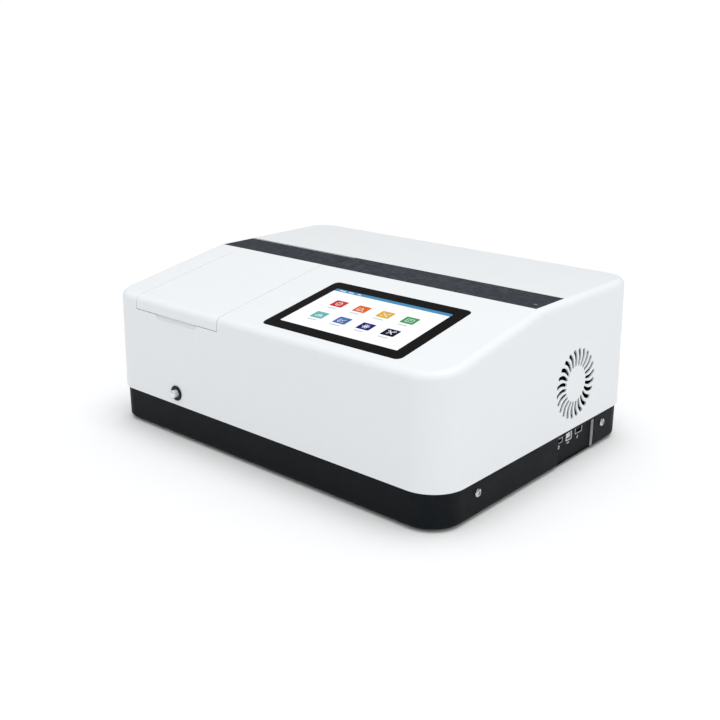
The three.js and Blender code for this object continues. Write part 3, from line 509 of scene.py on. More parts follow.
def metal(name, color, roughness, stretch=(1.0, 1.0, 1.0), lines=600.0, spread=0.2, relief=0.01,
          tone=0.08, bump=0.2, **sockets):
    """Bare or plated metal with fine working marks."""
    material, tree, surface = shader(name, **{"Metallic": 1.0, **sockets})
    base = add_group(tree, UNEVEN_TONE, Color=color, Patch_Scale=60.0, Amount=tone)
    marks = add_group(
        tree, BRUSHED_LINES, Stretch=stretch, Line_Scale=lines, Roughness=roughness, Spread=spread,
    )
    wire(tree, base, "Color", surface, "Base Color")
    wire(tree, marks, "Roughness", surface, "Roughness")
    bump_into(tree, surface, marks.outputs["Height"], bump, relief)
    return material


def lit(name, color, strength):
    """A lit area of the display under its gloss, with faint uneven patches in the glow."""
    material, tree, surface = shader(
        name, Roughness=0.12, Emission_Strength=strength, Specular_IOR_Level=0.15,
    )
    glow = add_group(tree, UNEVEN_TONE, Color=color, Patch_Scale=30.0, Amount=0.02)
    dim = add_group(tree, UNEVEN_TONE, Color=tuple(c * 0.08 for c in color[:3]) + (1,), Amount=0.02)
    wire(tree, glow, "Color", surface, "Emission Color")
    wire(tree, dim, "Color", surface, "Base Color")
    return material


COVER_WHITE = grained(
    "satin_white_cover", (0.705, 0.725, 0.740, 1), (0.80, 0.80, 0.80, 1), 0.42, tone=0.012, wear=0.25,
    dust=0.06, grain=1500.0, relief=0.012, spread=0.08, bump=0.18, Specular_IOR_Level=0.4,
    Coat_Weight=0.12, Coat_Roughness=0.18,
)
TRAY_BLACK = grained(
    "powder_coated_black", (0.0050, 0.0068, 0.0086, 1), (0.05, 0.052, 0.056, 1), 0.5, tone=0.25,
    wear=0.5, dust=0.04, grain=900.0, relief=0.06, spread=0.15, bump=0.5, Specular_IOR_Level=0.08,
)
STRIP_SLATE = grained(
    "slate_strip", (0.021, 0.026, 0.037, 1), (0.14, 0.15, 0.17, 1), 0.42, tone=0.10, wear=0.4,
    dust=0.06, grain=1400.0, relief=0.015, spread=0.1, bump=0.2, Specular_IOR_Level=0.2,
)
BEZEL_BLACK = grained(
    "black_printed_glass", (0.003, 0.0027, 0.0032, 1), (0.05, 0.05, 0.05, 1), 0.08, tone=0.2, wear=0.2,
    dust=0.015, grain=300.0, relief=0.002, spread=0.08, bump=0.05, Specular_IOR_Level=0.12,
)
BLACK_PLASTIC = grained(
    "moulded_black_plastic", (0.008, 0.008, 0.009, 1), (0.06, 0.06, 0.062, 1), 0.45, tone=0.15,
    wear=0.4, dust=0.04, grain=1100.0, relief=0.03, bump=0.35, Specular_IOR_Level=0.2,
)
ANODISED = grained(
    "black_anodised_metal", (0.016, 0.016, 0.018, 1), (0.22, 0.22, 0.23, 1), 0.48, tone=0.2, wear=0.6,
    dust=0.12, grain=1600.0, relief=0.02, spread=0.2, bump=0.3, Metallic=0.35, Specular_IOR_Level=0.4,
)
RUBBER = grained(
    "foot_rubber_black", (0.014, 0.014, 0.014, 1), (0.06, 0.06, 0.06, 1), 0.85, tone=0.25, wear=0.5,
    dust=0.3, grain=700.0, relief=0.05, bump=0.5, Specular_IOR_Level=0.2,
)
WHITE_INSERT = grained(
    "socket_insert_white", (0.62, 0.63, 0.62, 1), (0.8, 0.8, 0.8, 1), 0.4, tone=0.06, wear=0.2,
    dust=0.1, grain=1800.0, relief=0.01,
)
MARK_GREY = grained(
    "printed_mark_grey", (0.55, 0.57, 0.59, 1), (0.5, 0.5, 0.5, 1), 0.5, tone=0.15, patch=300.0,
    wear=0.1, dust=0.05, grain=2500.0, relief=0.004,
)
BOARD_GREEN = grained(
    "solder_resist_green", (0.012, 0.11, 0.035, 1), (0.35, 0.28, 0.1, 1), 0.32, tone=0.3, patch=90.0,
    wear=0.7, dust=0.15, grain=900.0, relief=0.03, Coat_Weight=0.3,
)
BRIGHT_STEEL = metal("plated_steel", (0.60, 0.61, 0.63, 1), 0.26, lines=900.0)
RAIL_STEEL = metal("ground_steel_rail", (0.62, 0.63, 0.65, 1), 0.18, stretch=(6.0, 1.0, 6.0), lines=500.0)
SATIN_NICKEL = metal(
    "satin_nickel_knob", (0.80, 0.81, 0.82, 1), 0.34, stretch=(1.0, 5.0, 1.0), lines=300.0, spread=0.08,
    relief=0.002, tone=0.03, Metallic=0.45,
)
# Light grey for the bay's side flanges: partly bare metal, partly a painted reflection standing in for the
# bright sheen on those walls.
FLANGE_GREY_PAINTED_REFLECTION = grained(
    "flange_grey_painted_reflection", (0.60, 0.61, 0.62, 1), (0.6, 0.6, 0.6, 1), 0.38, tone=0.12, patch=80.0, wear=0.3,
    dust=0.05, grain=1300.0, relief=0.01, Metallic=0.2,
)
ALUMINIUM = metal(
    "folded_aluminium", (0.66, 0.67, 0.69, 1), 0.38, stretch=(1.0, 8.0, 8.0), lines=350.0, spread=0.25,
)
GOLD = metal("gold_contacts", (0.80, 0.58, 0.22, 1), 0.25, lines=1500.0, spread=0.15)
MIRROR = metal("front_coated_mirror", (0.90, 0.91, 0.93, 1), 0.04, lines=80.0, spread=0.05, relief=0.0005)


def make_lamp_glass():
    """Fused silica: clear, with faint ripples and a slight haze where it was worked."""
    material, tree, surface = shader(
        "fused_silica", Transmission_Weight=0.85, IOR=1.46, Base_Color=(0.93, 0.96, 1.0, 1),
    )
    haze = add_group(tree, FINE_GRAIN, Grain_Scale=60.0, Roughness=0.06, Spread=0.1)
    tint = add_group(tree, UNEVEN_TONE, Color=(0.93, 0.96, 1.0, 1), Patch_Scale=40.0, Amount=0.06)
    wire(tree, haze, "Roughness", surface, "Roughness")
    wire(tree, tint, "Color", surface, "Base Color")
    bump_into(tree, surface, haze.outputs["Height"], 0.15, 0.05)
    return material


LAMP_GLASS = make_lamp_glass()

# ---------------------------------------------------------------- cover, lid and tray


def plan_outline(steps):
    """The housing in plan, anticlockwise from the ridge on the right, each point with its outward
    normal, and the place in the list of the ridge point on the left."""
    points = [(half_width, ridge_y, 1.0, 0.0)]
    corners_round = [(1, 1, "back"), (-1, 1, "back"), (-1, -1, "front_left"), (1, -1, "front_right")]
    for quarter, (sx, sy, corner) in enumerate(corners_round):
        if quarter == 2:
            left_ridge = len(points)
            points.append((-half_width, ridge_y, -1.0, 0.0))
        radius = corner_radii[corner]
        for i in range(steps + 1):
            angle = (quarter + i / steps) * math.pi / 2
            nx = math.cos(angle)
            ny = math.sin(angle)
            x = sx * (half_width - radius) + radius * nx
            y = mid_y + sy * (half_depth - radius) + radius * ny
            points.append((x, y, nx, ny))
    return points, left_ridge


PLAN, LEFT_RIDGE = plan_outline(24)
FLAT_TOP = list(range(0, LEFT_RIDGE + 1))
SLOPE_TOP = list(range(LEFT_RIDGE, len(PLAN))) + [0]


def cover_form(name, inset, low_z, edge_steps=12):
    """The cover's outer form, or with an inset the space inside its wall."""

    def ring(place):
        points = []
        for x, y, nx, ny in PLAN:
            away, drop = place(y, ny)
            new_y = y - ny * away
            z = low_z if drop is None else surface_at(new_y) - inset - drop
            points.append((x - nx * away, new_y, z))
        return points

    rings = [ring(lambda y, ny: (inset + (low_z - tray_top) * draft, None))]
    for i in range(edge_steps + 1):
        angle = math.pi / 2 * i / edge_steps

        def edge(y, ny, angle=angle):
            full = top_edge_radius + (front_edge_radius - top_edge_radius) * max(0.0, -ny)
            radius = full - inset
            lean = (surface_at(y) - full - tray_top) * draft
            return inset + lean + radius * (1 - math.cos(angle)), radius * (1 - math.sin(angle))

        rings.append(ring(edge))
    return loft(name, rings, top=[FLAT_TOP, SLOPE_TOP])


def tray_form(name, inset, low, high, radius=0.0, steps=8):
    rings = []
    for i in range(steps + 1 if radius else 1):
        angle = math.pi / 2 * (i / steps if radius else 1.0)
        away = inset + radius * (1 - math.sin(angle))
        rings.append([(x - nx * away, y - ny * away, low + radius * (1 - math.cos(angle)))
                      for x, y, nx, ny in PLAN])
    rings.append([(x - nx * inset, y - ny * inset, high) for x, y, nx, ny in PLAN])
    return loft(name, rings)


def cover_skin(name):
    return cut(cover_form(name, 0, tray_top), cover_form("inside", wall, tray_top - wall))


# The screen lies on the slope: across it, up it, and out of it, from the middle of the glass.
screen_width = glass_high.x - glass_low.x
screen_height = 116
screen_radius = 6.5
glass_thickness = 1.8
glass_proud = 0.3
screen_x = (glass_low.x + glass_high.x) / 2
screen_below_ridge = 32.6
screen_run = screen_below_ridge + screen_height / 2
display_hole_width = 165.6
display_hole_height = 100.6


def on_slope(a, b, h):
    up = b - screen_run
    return (
        screen_x + a,
        ridge_y + up * math.cos(slope_angle) - h * math.sin(slope_angle),
        top_z + up * math.sin(slope_angle) + h * math.cos(slope_angle),
    )


# The fan's grille: swirling slots with round ends, narrow towards the hub, in a wall that is
# thinned from inside.
slot_count = 24
slot_inner = 19
slot_outer = 38
slot_narrow = 1.7
slot_wide = 2.5
slot_start = 0.084
slot_sweep = 0.053
slot_bend = -0.226
grille_sheet = 2.1
grille_pocket = 42
fan_y = (fan_low.y + fan_high.y) / 2
fan_z = (fan_low.z + fan_high.z) / 2


def on_right_wall(a, b, h):
    """A place back, up and out from the grille's middle, on the leaning wall."""
    return right_at(fan_z) + h - b * draft, fan_y + a, fan_z + b


def grille_slot(index):
    start = slot_start + index / slot_count * 2 * math.pi
    inner_middle = slot_inner + slot_narrow
    outer_middle = slot_outer - slot_wide

    def spine(share):
        radius = inner_middle + (outer_middle - inner_middle) * share
        turn = start + slot_sweep * share + slot_bend * share * (1 - share)
        return radius * math.cos(turn), radius * math.sin(turn), turn

    def offset(share, angle):
        """A point of the slot's edge, at an angle from the way the slot runs."""
        a, b, turn = spine(share)
        half = slot_narrow + (slot_wide - slot_narrow) * share
        return a + half * math.cos(turn + angle), b + half * math.sin(turn + angle)

    quarter = math.pi / 2
    steps = 8
    outline = [offset(i / steps, -quarter) for i in range(steps)]
    outline += [offset(1.0, -quarter + math.pi * i / steps) for i in range(steps)]
    outline += [offset(1.0 - i / steps, quarter) for i in range(steps)]
    outline += [offset(0.0, quarter + math.pi * i / steps) for i in range(steps)]
    return outline


def rear_slots():
    pitch = 9
    count = 14
    slot_width = 3.2
    slot_length = 46
    middle_x = 60
    middle_z = tray_top + 40
    return [
        rounded(slot_width, slot_length, 1.5, (middle_x + (i - (count - 1) / 2) * pitch, middle_z), 4)
        for i in range(count)
    ]


collar_x = (collar_low.x + collar_high.x) / 2
collar_z = (collar_low.z + collar_high.z) / 2
collar_shank = 6.4


def finger_scoop():
    """A sloping ledge under the lid's lip for the fingertips, with rounded ends."""
    length = 68
    height = 4.7
    depth = 2.2
    end_share = 0.09  # of half the length, at each end, over which the ledge closes
    centre = (lid_low.x + lid_high.x) / 2
    seam_low = lid_low.z - seam
    stations = [-1 + end_share * (1 - math.cos(math.pi / 2 * i / 8)) for i in range(9)]
    stations += [-along for along in reversed(stations)]
    rings = []
    for along in stations:
        into_end = max(0.0, (abs(along) - 1 + end_share) / end_share)
        swell = max(0.03, math.sqrt(max(0.0, 1 - into_end ** 2)))
        low = seam_low + 0.1 - (height - seam) * swell
        high = seam_low - 0.3 * swell
        face = front_at(low)
        curve = [(face - 5, seam_low + 1), (face - 5, low), (face, low)]
        curve += [(face + depth * swell, high), (face + depth * swell, seam_low + 1)]
        rings.append([(centre + along * length / 2, y, z) for y, z in curve])
    return loft("scoop", rings)


def make_cover():
    above = top_z + 50
    holes = [
        block("lid_hole", (lid_low.x - seam, -500, lid_low.z - seam),
              (lid_high.x + seam, ridge_y + gap, above)),
        block("rail_hole", (rail_low.x - seam, ridge_y - seam, top_z - 20),
              (strip_low.x, strip_high.y + seam, above)),
        block("inlay", (rail_high.x, ridge_y - seam, strip_low.z - gap),
              (strip_high.x + seam, strip_high.y + seam, above)),
        extrude("glass_seat", rounded(screen_width + seam, screen_height + seam, screen_radius),
                -glass_thickness - gap, 20, on_slope),
        extrude("display_hole", rounded(display_hole_width, display_hole_height, 2), -20, 20, on_slope),
        extrude("grille_pocket", circle(grille_pocket, 96), -20, -grille_sheet, on_right_wall),
        extrude_all("slots", [grille_slot(i) for i in range(slot_count)], -20, 5, on_right_wall),
        extrude_all("vents", rear_slots(), mid_y + half_depth - 20, mid_y + half_depth + 5, "y"),
        extrude("collar_hole", circle(collar_shank + gap, 48, (collar_x, collar_z)),
                mid_y - half_depth - 5, mid_y - half_depth + 20, "y"),
        finger_scoop(),
    ]
    cover = cut(cover_skin("cover_shell"), *holes)
    soften(cover, 0.35, 2, 50)
    dress(cover, COVER_WHITE, "housing", ["top_cover"])


def make_lid():
    region = block("lid_region", (lid_low.x, -500, lid_low.z), (lid_high.x, ridge_y - gap, top_z + 50))
    lid = combine(cover_skin("sample_lid"), [region], "INTERSECT")
    skirt_under = wall + 3.0
    skirts = []
    for low_x in (lid_low.x, lid_high.x - 2.2):
        front = front_face_y + wall - 0.5
        back = ridge_y - gap
        side = [
            (front, surface_at(front) - wall + 0.5), (back, surface_at(back) - wall + 0.5),
            (back, surface_at(back) - skirt_under), (front, surface_at(front) - skirt_under),
        ]
        skirts.append(extrude("skirt", side, low_x, low_x + 2.2, "x"))
    join(lid, *skirts)
    soften(lid, 0.35, 2, 50)
    dress(lid, COVER_WHITE, "lid", ["lid_shell"])


bay_front = panel_low.y - gap
bay_back = panel_high.y + gap
bay_top = panel_high.z + gap
bay_recess = 3.2
panel_face = tray_side - bay_recess
inlet_x = (inlet_low.x + inlet_high.x) / 2
inlet_z = (inlet_low.z + inlet_high.z) / 2
rocker_x = 150
screw_names = [
    "side_screw_front_left", "side_screw_back_left", "side_screw_front_right", "side_screw_back_right",
]
foot_names = ["foot_front_left", "foot_front_right", "foot_back_left", "foot_back_right"]


def middle(node):
    low, high = corners(node)
    return (low + high) / 2


def make_tray():
    outer = tray_form("tray_shell", tray_inset, tray_low.z, tray_top - gap, tray_edge_radius)
    rim = tray_form("rim", wall + draft * rim_height + gap, tray_top - 5, tray_high.z)
    inner = tray_form("inner", tray_inset + tray_wall, tray_low.z + tray_wall, top_z)
    holes = [
        inner,
        block("bay", (panel_face - 2, bay_front, 0), (tray_side + 5, bay_back, bay_top)),
        block("inlet_hole", (inlet_x - 20, tray_back - 10, inlet_z - 14),
              (inlet_x + 20, tray_back + 5, inlet_z + 14)),
        block("switch_hole", (rocker_x - 8, tray_back - 10, inlet_z - 12),
              (rocker_x + 8, tray_back + 5, inlet_z + 12)),
    ]
    for name in ("side_screw_front_right", "side_screw_back_right"):
        spot = middle(name)
        holes.append(extrude("screw_hole", circle(2.3, 16, (spot.y, spot.z)), -half_width, half_width, "x"))
    for name in foot_names:
        spot = middle(name)
        holes.append(extrude("foot_hole", circle(2.8, 16, (spot.x, spot.y)), 0, tray_low.z + 5))
    tray = cut(join(outer, rim), *holes)
    soften(tray, 0.3, 2, 50)
    dress(tray, TRAY_BLACK, "housing", ["base_tray"])


# ---------------------------------------------------------------- strip and screen


def make_name_strip():
    light_x = strip_high.x - 9
    light_y = strip_low.y + 13
    plate = block("name_plate", tuple(strip_low), tuple(strip_high))
    hole = extrude("light_hole", rounded(5.2, 2.6, 1.2, (light_x, light_y)), top_z - 1.0, top_z + 2)
    cut(plate, hole)
    soften(plate, 0.35, 2)
    dress(plate, STRIP_SLATE, "housing", ["name_strip"])
    lens = extrude("status_light", rounded(4.8, 2.2, 1.05, (light_x, light_y)), top_z - 1.0, top_z - 0.1)
    soften(lens, 0.2, 2)
    dress(lens, lit("status_light_glow", (0.55, 0.6, 0.62, 1), 0.35), "housing")


page_width = 153.5
page_height = 87.5
page_up = -0.3
bar_height = 5.6
icon_width = 16.6
icon_height = 13.8
icon_pitch = 31.2
icon_rows = (13.0, -17.0)
icon_colors = [
    [(0.62, 0.035, 0.035, 1), (0.72, 0.14, 0.02, 1), (0.75, 0.44, 0.03, 1), (0.05, 0.33, 0.09, 1)],
    [(0.14, 0.46, 0.46, 1), (0.06, 0.15, 0.42, 1), (0.014, 0.014, 0.17, 1), (0.006, 0.005, 0.022, 1)],
]
page_top = glass_proud - 0.02


def stroke(points, width):
    """Outlines of a line of even width, one for each straight stretch."""
    outlines = []
    for (ax, ay), (bx, by) in zip(points, points[1:]):
        length = math.hypot(bx - ax, by - ay)
        nx = (ay - by) / length * width / 2
        ny = (bx - ax) / length * width / 2
        outlines.append([(ax + nx, ay + ny), (ax - nx, ay - ny), (bx - nx, by - ny), (bx + nx, by + ny)])
    return outlines


def ring_strokes(radius, width, steps=20, centre=(0.0, 0.0)):
    points = circle(radius, steps, centre)
    return stroke(points + points[:1], width)


def dial_symbol():
    needle = stroke([(0, 0), (1.8, 1.8)], 0.8)
    base_line = stroke([(-1.6, -1.4), (1.6, -1.4)], 0.7)
    return ring_strokes(3.6, 0.8) + needle + base_line


def peak_symbol():
    curve = [(-4 + i * 0.5, -3 + 5.6 * math.exp(-((i * 0.5 - 4) / 1.5) ** 2)) for i in range(17)]
    return stroke(curve, 0.8) + stroke([(-4.6, 3.4), (-4.6, -3.6), (4.6, -3.6)], 0.6)


def nodes_symbol():
    spots = [(-3.4, 2.4), (3.4, 2.4), (0, -0.2), (-3.4, -2.8), (3.4, -2.8)]
    outlines = [circle(1.0, 10, spot) for spot in spots]
    for spot in (spots[0], spots[1], spots[3], spots[4]):
        outlines += stroke([(spot[0] * 0.75, spot[1] * 0.75), (spot[0] * 0.2, spot[1] * 0.2)], 0.6)
    return outlines


def card_symbol():
    frame_line = [(-4.2, -3), (4.2, -3), (4.2, 3), (-4.2, 3), (-4.2, -3)]
    return stroke(frame_line, 0.8) + stroke([(-2.4, -1), (0, 1.2), (2.4, 0.2)], 0.7)


def bars_symbol():
    outlines = []
    for i, height in enumerate((2.4, 4.2, 6.0, 3.4)):
        x = -3.6 + i * 2.4
        left = x - 0.7
        right = x + 0.7
        foot = -3.2
        outlines.append([(left, foot), (right, foot), (right, foot + height), (left, foot + height)])
    return outlines


def trace_symbol():
    axes = stroke([(-4.2, 3.4), (-4.2, -3.4), (4.4, -3.4)], 0.7)
    return axes + stroke([(-3.2, -2), (-1.2, 1.6), (0.6, -0.6), (3.6, 3)], 0.8)


def orbit_symbol():
    outlines = [circle(1.1, 12)]
    for turn in (0, 60, 120):
        angle = math.radians(turn)
        loop = []
        for a, b in circle(1.0, 22):
            x = a * 4.2
            y = b * 1.6
            turned_x = x * math.cos(angle) - y * math.sin(angle)
            turned_y = x * math.sin(angle) + y * math.cos(angle)
            loop.append((turned_x, turned_y))
        outlines += stroke(loop + loop[:1], 0.5)
    return outlines


def tools_symbol():
    return (
        stroke([(-3.4, -3), (2.6, 3)], 1.2) + stroke([(3.4, -3), (-2.6, 3)], 1.2)
        + ring_strokes(1.2, 0.7, 12, (-3.4, 3)) + ring_strokes(1.2, 0.7, 12, (3.4, 3))
    )


def make_screen():
    outside = rounded(screen_width, screen_height, screen_radius, steps=12)
    bezel = extrude("screen_bezel", outside, -glass_thickness, glass_proud, on_slope)
    window = rounded(page_width, page_height, 0.8, (0, page_up), 4)
    cut(bezel, extrude("window", window, -glass_thickness - 1, glass_proud + 1, on_slope))
    soften(bezel, 0.25, 3)
    dress(bezel, BEZEL_BLACK, "housing", ["screen_glass"])

    def lay(name, outlines, low, high, material):
        piece = extrude_all(name, outlines, low, high, on_slope)
        dress(piece, material, "housing")

    page = rounded(page_width - 0.1, page_height - 0.1, 0.7, (0, page_up), 4)
    lay("screen_page", [page], -glass_thickness + 0.1, page_top, lit("page_white", (0.93, 0.96, 1, 1), 0.97))
    bar_middle = page_up + page_height / 2 - bar_height / 2
    bar = rounded(page_width - 0.1, bar_height, 0.5, (0, bar_middle), 3)
    lay("screen_title_bar", [bar], page_top - 0.1, page_top + 0.012,
        lit("title_blue", (0.075, 0.30, 0.55, 1), 0.8))

    symbols = [
        [dial_symbol, peak_symbol, nodes_symbol, card_symbol],
        [bars_symbol, trace_symbol, orbit_symbol, tools_symbol],
    ]
    whites = []
    labels = []
    for row, up in enumerate(icon_rows):
        for column in range(4):
            across = (column - 1.5) * icon_pitch
            tile = rounded(icon_width, icon_height, 1.4, (across, up), 5)
            glow = lit(f"tile_{row}_{column}", icon_colors[row][column], 0.9)
            lay(f"screen_tile_{row + 1}_{column + 1}", [tile], page_top - 0.1, page_top + 0.012, glow)
            for outline in symbols[row][column]():
                whites.append([(a + across, b + up) for a, b in outline])
            label_width = 11.4 + 1.2 * ((row * 4 + column) % 3)
            labels.append(rounded(label_width, 1.9, 0.6, (across - 0.5, up - icon_height / 2 - 4.2), 3))
    for k in range(3):
        whites.append(rounded(9 - 2 * k, 1.6, 0.4, (-66 + 11.5 * k, bar_middle), 3))
    symbol_white = lit("symbol_white", (0.9, 0.93, 0.95, 1), 0.85)
    lay("screen_symbols", whites, page_top - 0.1, page_top + 0.03, symbol_white)
    label_grey = lit("label_grey", (0.60, 0.62, 0.65, 1), 0.9)
    lay("screen_labels", labels, page_top - 0.1, page_top + 0.04, label_grey)


# ---------------------------------------------------------------- knob, screws and feet


def make_knob_and_collar():
    ring_radius = (collar_high.x - collar_low.x) / 2
    bore = 4.9
    front = collar_low.y
    seat = front_at(collar_z) - gap
    back = collar_high.y
    edge = 0.6
    profile = [(bore, back), (bore, front + 0.5), (bore + 0.5, front)]
    profile += [(ring_radius - edge, front)]
    profile += [(r, h) for r, h in arc((ring_radius - edge, front + edge), edge, -60, 0, 3)]
    profile += [(ring_radius, seat), (collar_shank, seat), (collar_shank, back)]
    steps = 64
    rings = [[(collar_x + a, h, collar_z + b) for a, b in circle(r, steps)] for r, h in profile]
    count = len(rings)
    points = [p for ring in rings for p in ring]
    faces = []
    for k in range(count):
        for i in range(steps):
            j = (i + 1) % steps
            n = (k + 1) % count
            faces.append((k * steps + i, k * steps + j, n * steps + j, n * steps + i))
    collar = make("collar_ring", points, faces)
    soften(collar, 0.15, 2)
    dress(collar, BLACK_PLASTIC, "housing", ["rod_collar"])

    radius = (knob_high.x - knob_low.x) / 2
    front = knob_low.y
    back = knob_high.y
    dome = 2.0
    profile = [(radius * math.sin(a), front + dome * (1 - math.cos(a)))
               for a in [math.radians(6 + i * 12) for i in range(8)]]
    profile += [(radius, front + dome + 2.2), (radius - 0.35, front + dome + 2.6)]
    profile += [(radius - 0.35, front + dome + 3.2), (radius, front + dome + 3.6), (radius, back)]
    knob = lathe("knob_button", profile, "y", (collar_x, collar_z), 64)
    soften(knob, 0.1, 2, 60)
    dress(knob, SATIN_NICKEL, "changer", ["pull_knob"])


def make_side_screws():
    """Pan heads with a cross recess, pressed against the tray's sides."""
    head = 4.5
    dome = 2.0
    for name in screw_names:
        low, high = corners(name)
        out = 1 if high.x > 0 else -1
        tip = high.x if out > 0 else low.x
        seat = tip - out * dome
        end = low.x if out > 0 else high.x
        spot = (low + high) / 2
        profile = [(2.0, end), (2.0, seat)]
        profile += [(head, seat), (head, seat + out * 0.35)]
        for i in range(1, 9):
            angle = math.pi / 2 * i / 9
            profile.append((head * math.cos(angle), seat + out * (0.35 + (dome - 0.35) * math.sin(angle))))
        profile.append((0.3, tip))
        screw = lathe(f"{name}_head", profile, "x", (spot.y, spot.z), 40)
        cross = []
        for turn in (0.35, 0.35 + math.pi / 2):
            wing = []
            for reach, half in ((-2.5, 0.45), (2.5, 0.45)):
                for side in (-1, 1):
                    a = reach
                    b = half * side * (1 if reach < 0 else -1)
                    wing.append((spot.y + a * math.cos(turn) - b * math.sin(turn),
                                 spot.z + a * math.sin(turn) + b * math.cos(turn)))
            depths = sorted((tip - out * 1.4, tip + out * 2))
            cross.append(extrude("wing", wing, depths[0], depths[1], "x"))
        cut(screw, *cross)
        soften(screw, 0.12, 2, 40)
        dress(screw, BRIGHT_STEEL, "housing", [name])


def make_feet():
    """Turned rubber pads with a grip groove, each on its own stem."""
    for name in foot_names:
        low, high = corners(name)
        spot = (low + high) / 2
        radius = (high.x - low.x) / 2
        top = tray_low.z - gap
        profile = [(radius - 4.2, 0.0), (radius - 3.4, 0.35), (radius - 2.6, 0.0), (radius - 1.2, 0.0)]
        profile += [(radius - 0.5, 0.25), (radius - 0.1, 0.9), (radius, 1.6), (radius - 0.15, top)]
        profile += [(2.5, top), (2.5, high.z - 0.5), (2.0, high.z)]
        pad = lathe(f"{name}_pad", profile, "z", (spot.x, spot.y), 48)
        soften(pad, 0.1, 2, 60)
        dress(pad, RUBBER, "housing", [name])


# ---------------------------------------------------------------- side sockets


def make_connector_panel():
    """A folded pan in the bay: black inside face, and light grey side flanges that are bare metal with a
    painted reflection in their colour.
    """
    sheet = 1.2
    pan = block("pan", (panel_face - sheet, panel_low.y, panel_low.z),
                (tray_side, panel_high.y, panel_high.z))
    outline = tray_form("outline", tray_inset + gap, tray_low.z, tray_top, tray_edge_radius)
    pan = combine(pan, [outline], "INTERSECT")
    pan.name = "connector_pan"
    tools = [block("hollow", (panel_face, panel_low.y + sheet, panel_low.z + sheet),
                   (tray_side + 5, panel_high.y - sheet, panel_high.z - sheet))]
    for name in ("usb_a_port", "usb_b_port", "service_port"):
        low, high = corners(name)
        tools.append(extrude("port_hole", rounded(high.y - low.y + 0.6, high.z - low.z + 0.6, 0.6,
                             ((low.y + high.y) / 2, (low.z + high.z) / 2), 4),
                             panel_face - 10, panel_face + 5, "x"))
    cut(pan, *tools)
    soften(pan, 0.2, 2)
    dress(pan, TRAY_BLACK, "housing", ["connector_panel"])
    # The faces that look front and back get the light grey, which paints in the reflection seen on the bay's
    # side walls.
    pan.data.materials.append(FLANGE_GREY_PAINTED_REFLECTION)
    for face in pan.data.polygons:
        if abs(face.normal.y) > 0.8:
            face.material_index = 1

    def mark(name, outlines):
        piece = extrude_all(name, outlines, panel_face - 0.05, panel_face + 0.06, "x")
        dress(piece, MARK_GREY, "housing")

    def moved(outlines, node, drop):
        spot = middle(node)
        return [[(spot.y + a, spot.z - drop + b) for a, b in outline] for outline in outlines]

    fork = stroke([(-2.6, 0), (1.6, 0)], 0.6) + stroke([(-1.4, 0), (-0.2, 1.2)], 0.6)
    fork += stroke([(-0.6, 0), (0.6, -1.2)], 0.6) + [circle(0.9, 12, (2.1, 0))]
    socket_mark = ring_strokes(1.7, 0.7, 16) + stroke([(0, -1.4), (0, 1.4)], 0.7)
    plug_mark = stroke([(-0.9, -1.6), (0.9, -1.6), (0.9, 0.6), (-0.9, 0.6), (-0.9, -1.6)], 0.6)
    plug_mark += stroke([(-0.5, 0.6), (-0.5, 1.9)], 0.5) + stroke([(0.5, 0.6), (0.5, 1.9)], 0.5)
    mark("usb_a_mark", moved(plug_mark, "usb_a_port", 8.4))
    mark("usb_b_mark", moved(fork, "usb_b_port", 8.4))
    mark("service_mark", moved(socket_mark, "service_port", 8.0))


def make_port(node, shell, insert, insert_material, contacts):
    """A stamped shell round an insulator tongue with its contacts."""
    low, high = corners(node)
    width = high.y - low.y
    height = high.z - low.z
    at = ((low.y + high.y) / 2, (low.z + high.z) / 2)
    back = low.x
    front = high.x
    case = extrude(f"{node}_shell", rounded(width, height, 1.0, at, 5), back, front, "x")
    mouth = rounded(width - 2 * shell, height - 2 * shell, 0.5, at, 4)
    cut(case, extrude("mouth", mouth, back + 2, front + 5, "x"))
    soften(case, 0.15, 2)
    dress(case, BRIGHT_STEEL, "housing", [node])
    tongue = extrude(f"{node}_tongue", rounded(insert[0], insert[1], 0.3, (at[0], at[1] + insert[2]), 3),
                     back + 1.9, front - 1.2, "x")
    soften(tongue, 0.15, 2)
    dress(tongue, insert_material, "housing")
    pads = []
    for i in range(contacts):
        y = at[0] + (i - (contacts - 1) / 2) * insert[0] / (contacts + 0.5)
        z = at[1] + insert[2] - insert[1] / 2 - 0.05
        pads.append(rounded(insert[0] / (contacts + 0.5) * 0.5, 0.3, 0.1, (y, z), 2))
    leaves = extrude_all(f"{node}_contacts", pads, back + 2.5, front - 1.6, "x")
    dress(leaves, GOLD, "housing")


def make_ports():
    make_port("usb_a_port", 0.8, (10.6, 1.9, 1.1), BLACK_PLASTIC, 4)
    make_port("usb_b_port", 1.4, (7.6, 5.8, 0.0), WHITE_INSERT, 2)
    make_port("service_port", 0.7, (6.4, 1.2, 0.3), BLACK_PLASTIC, 5)


# ---------------------------------------------------------------- power entry


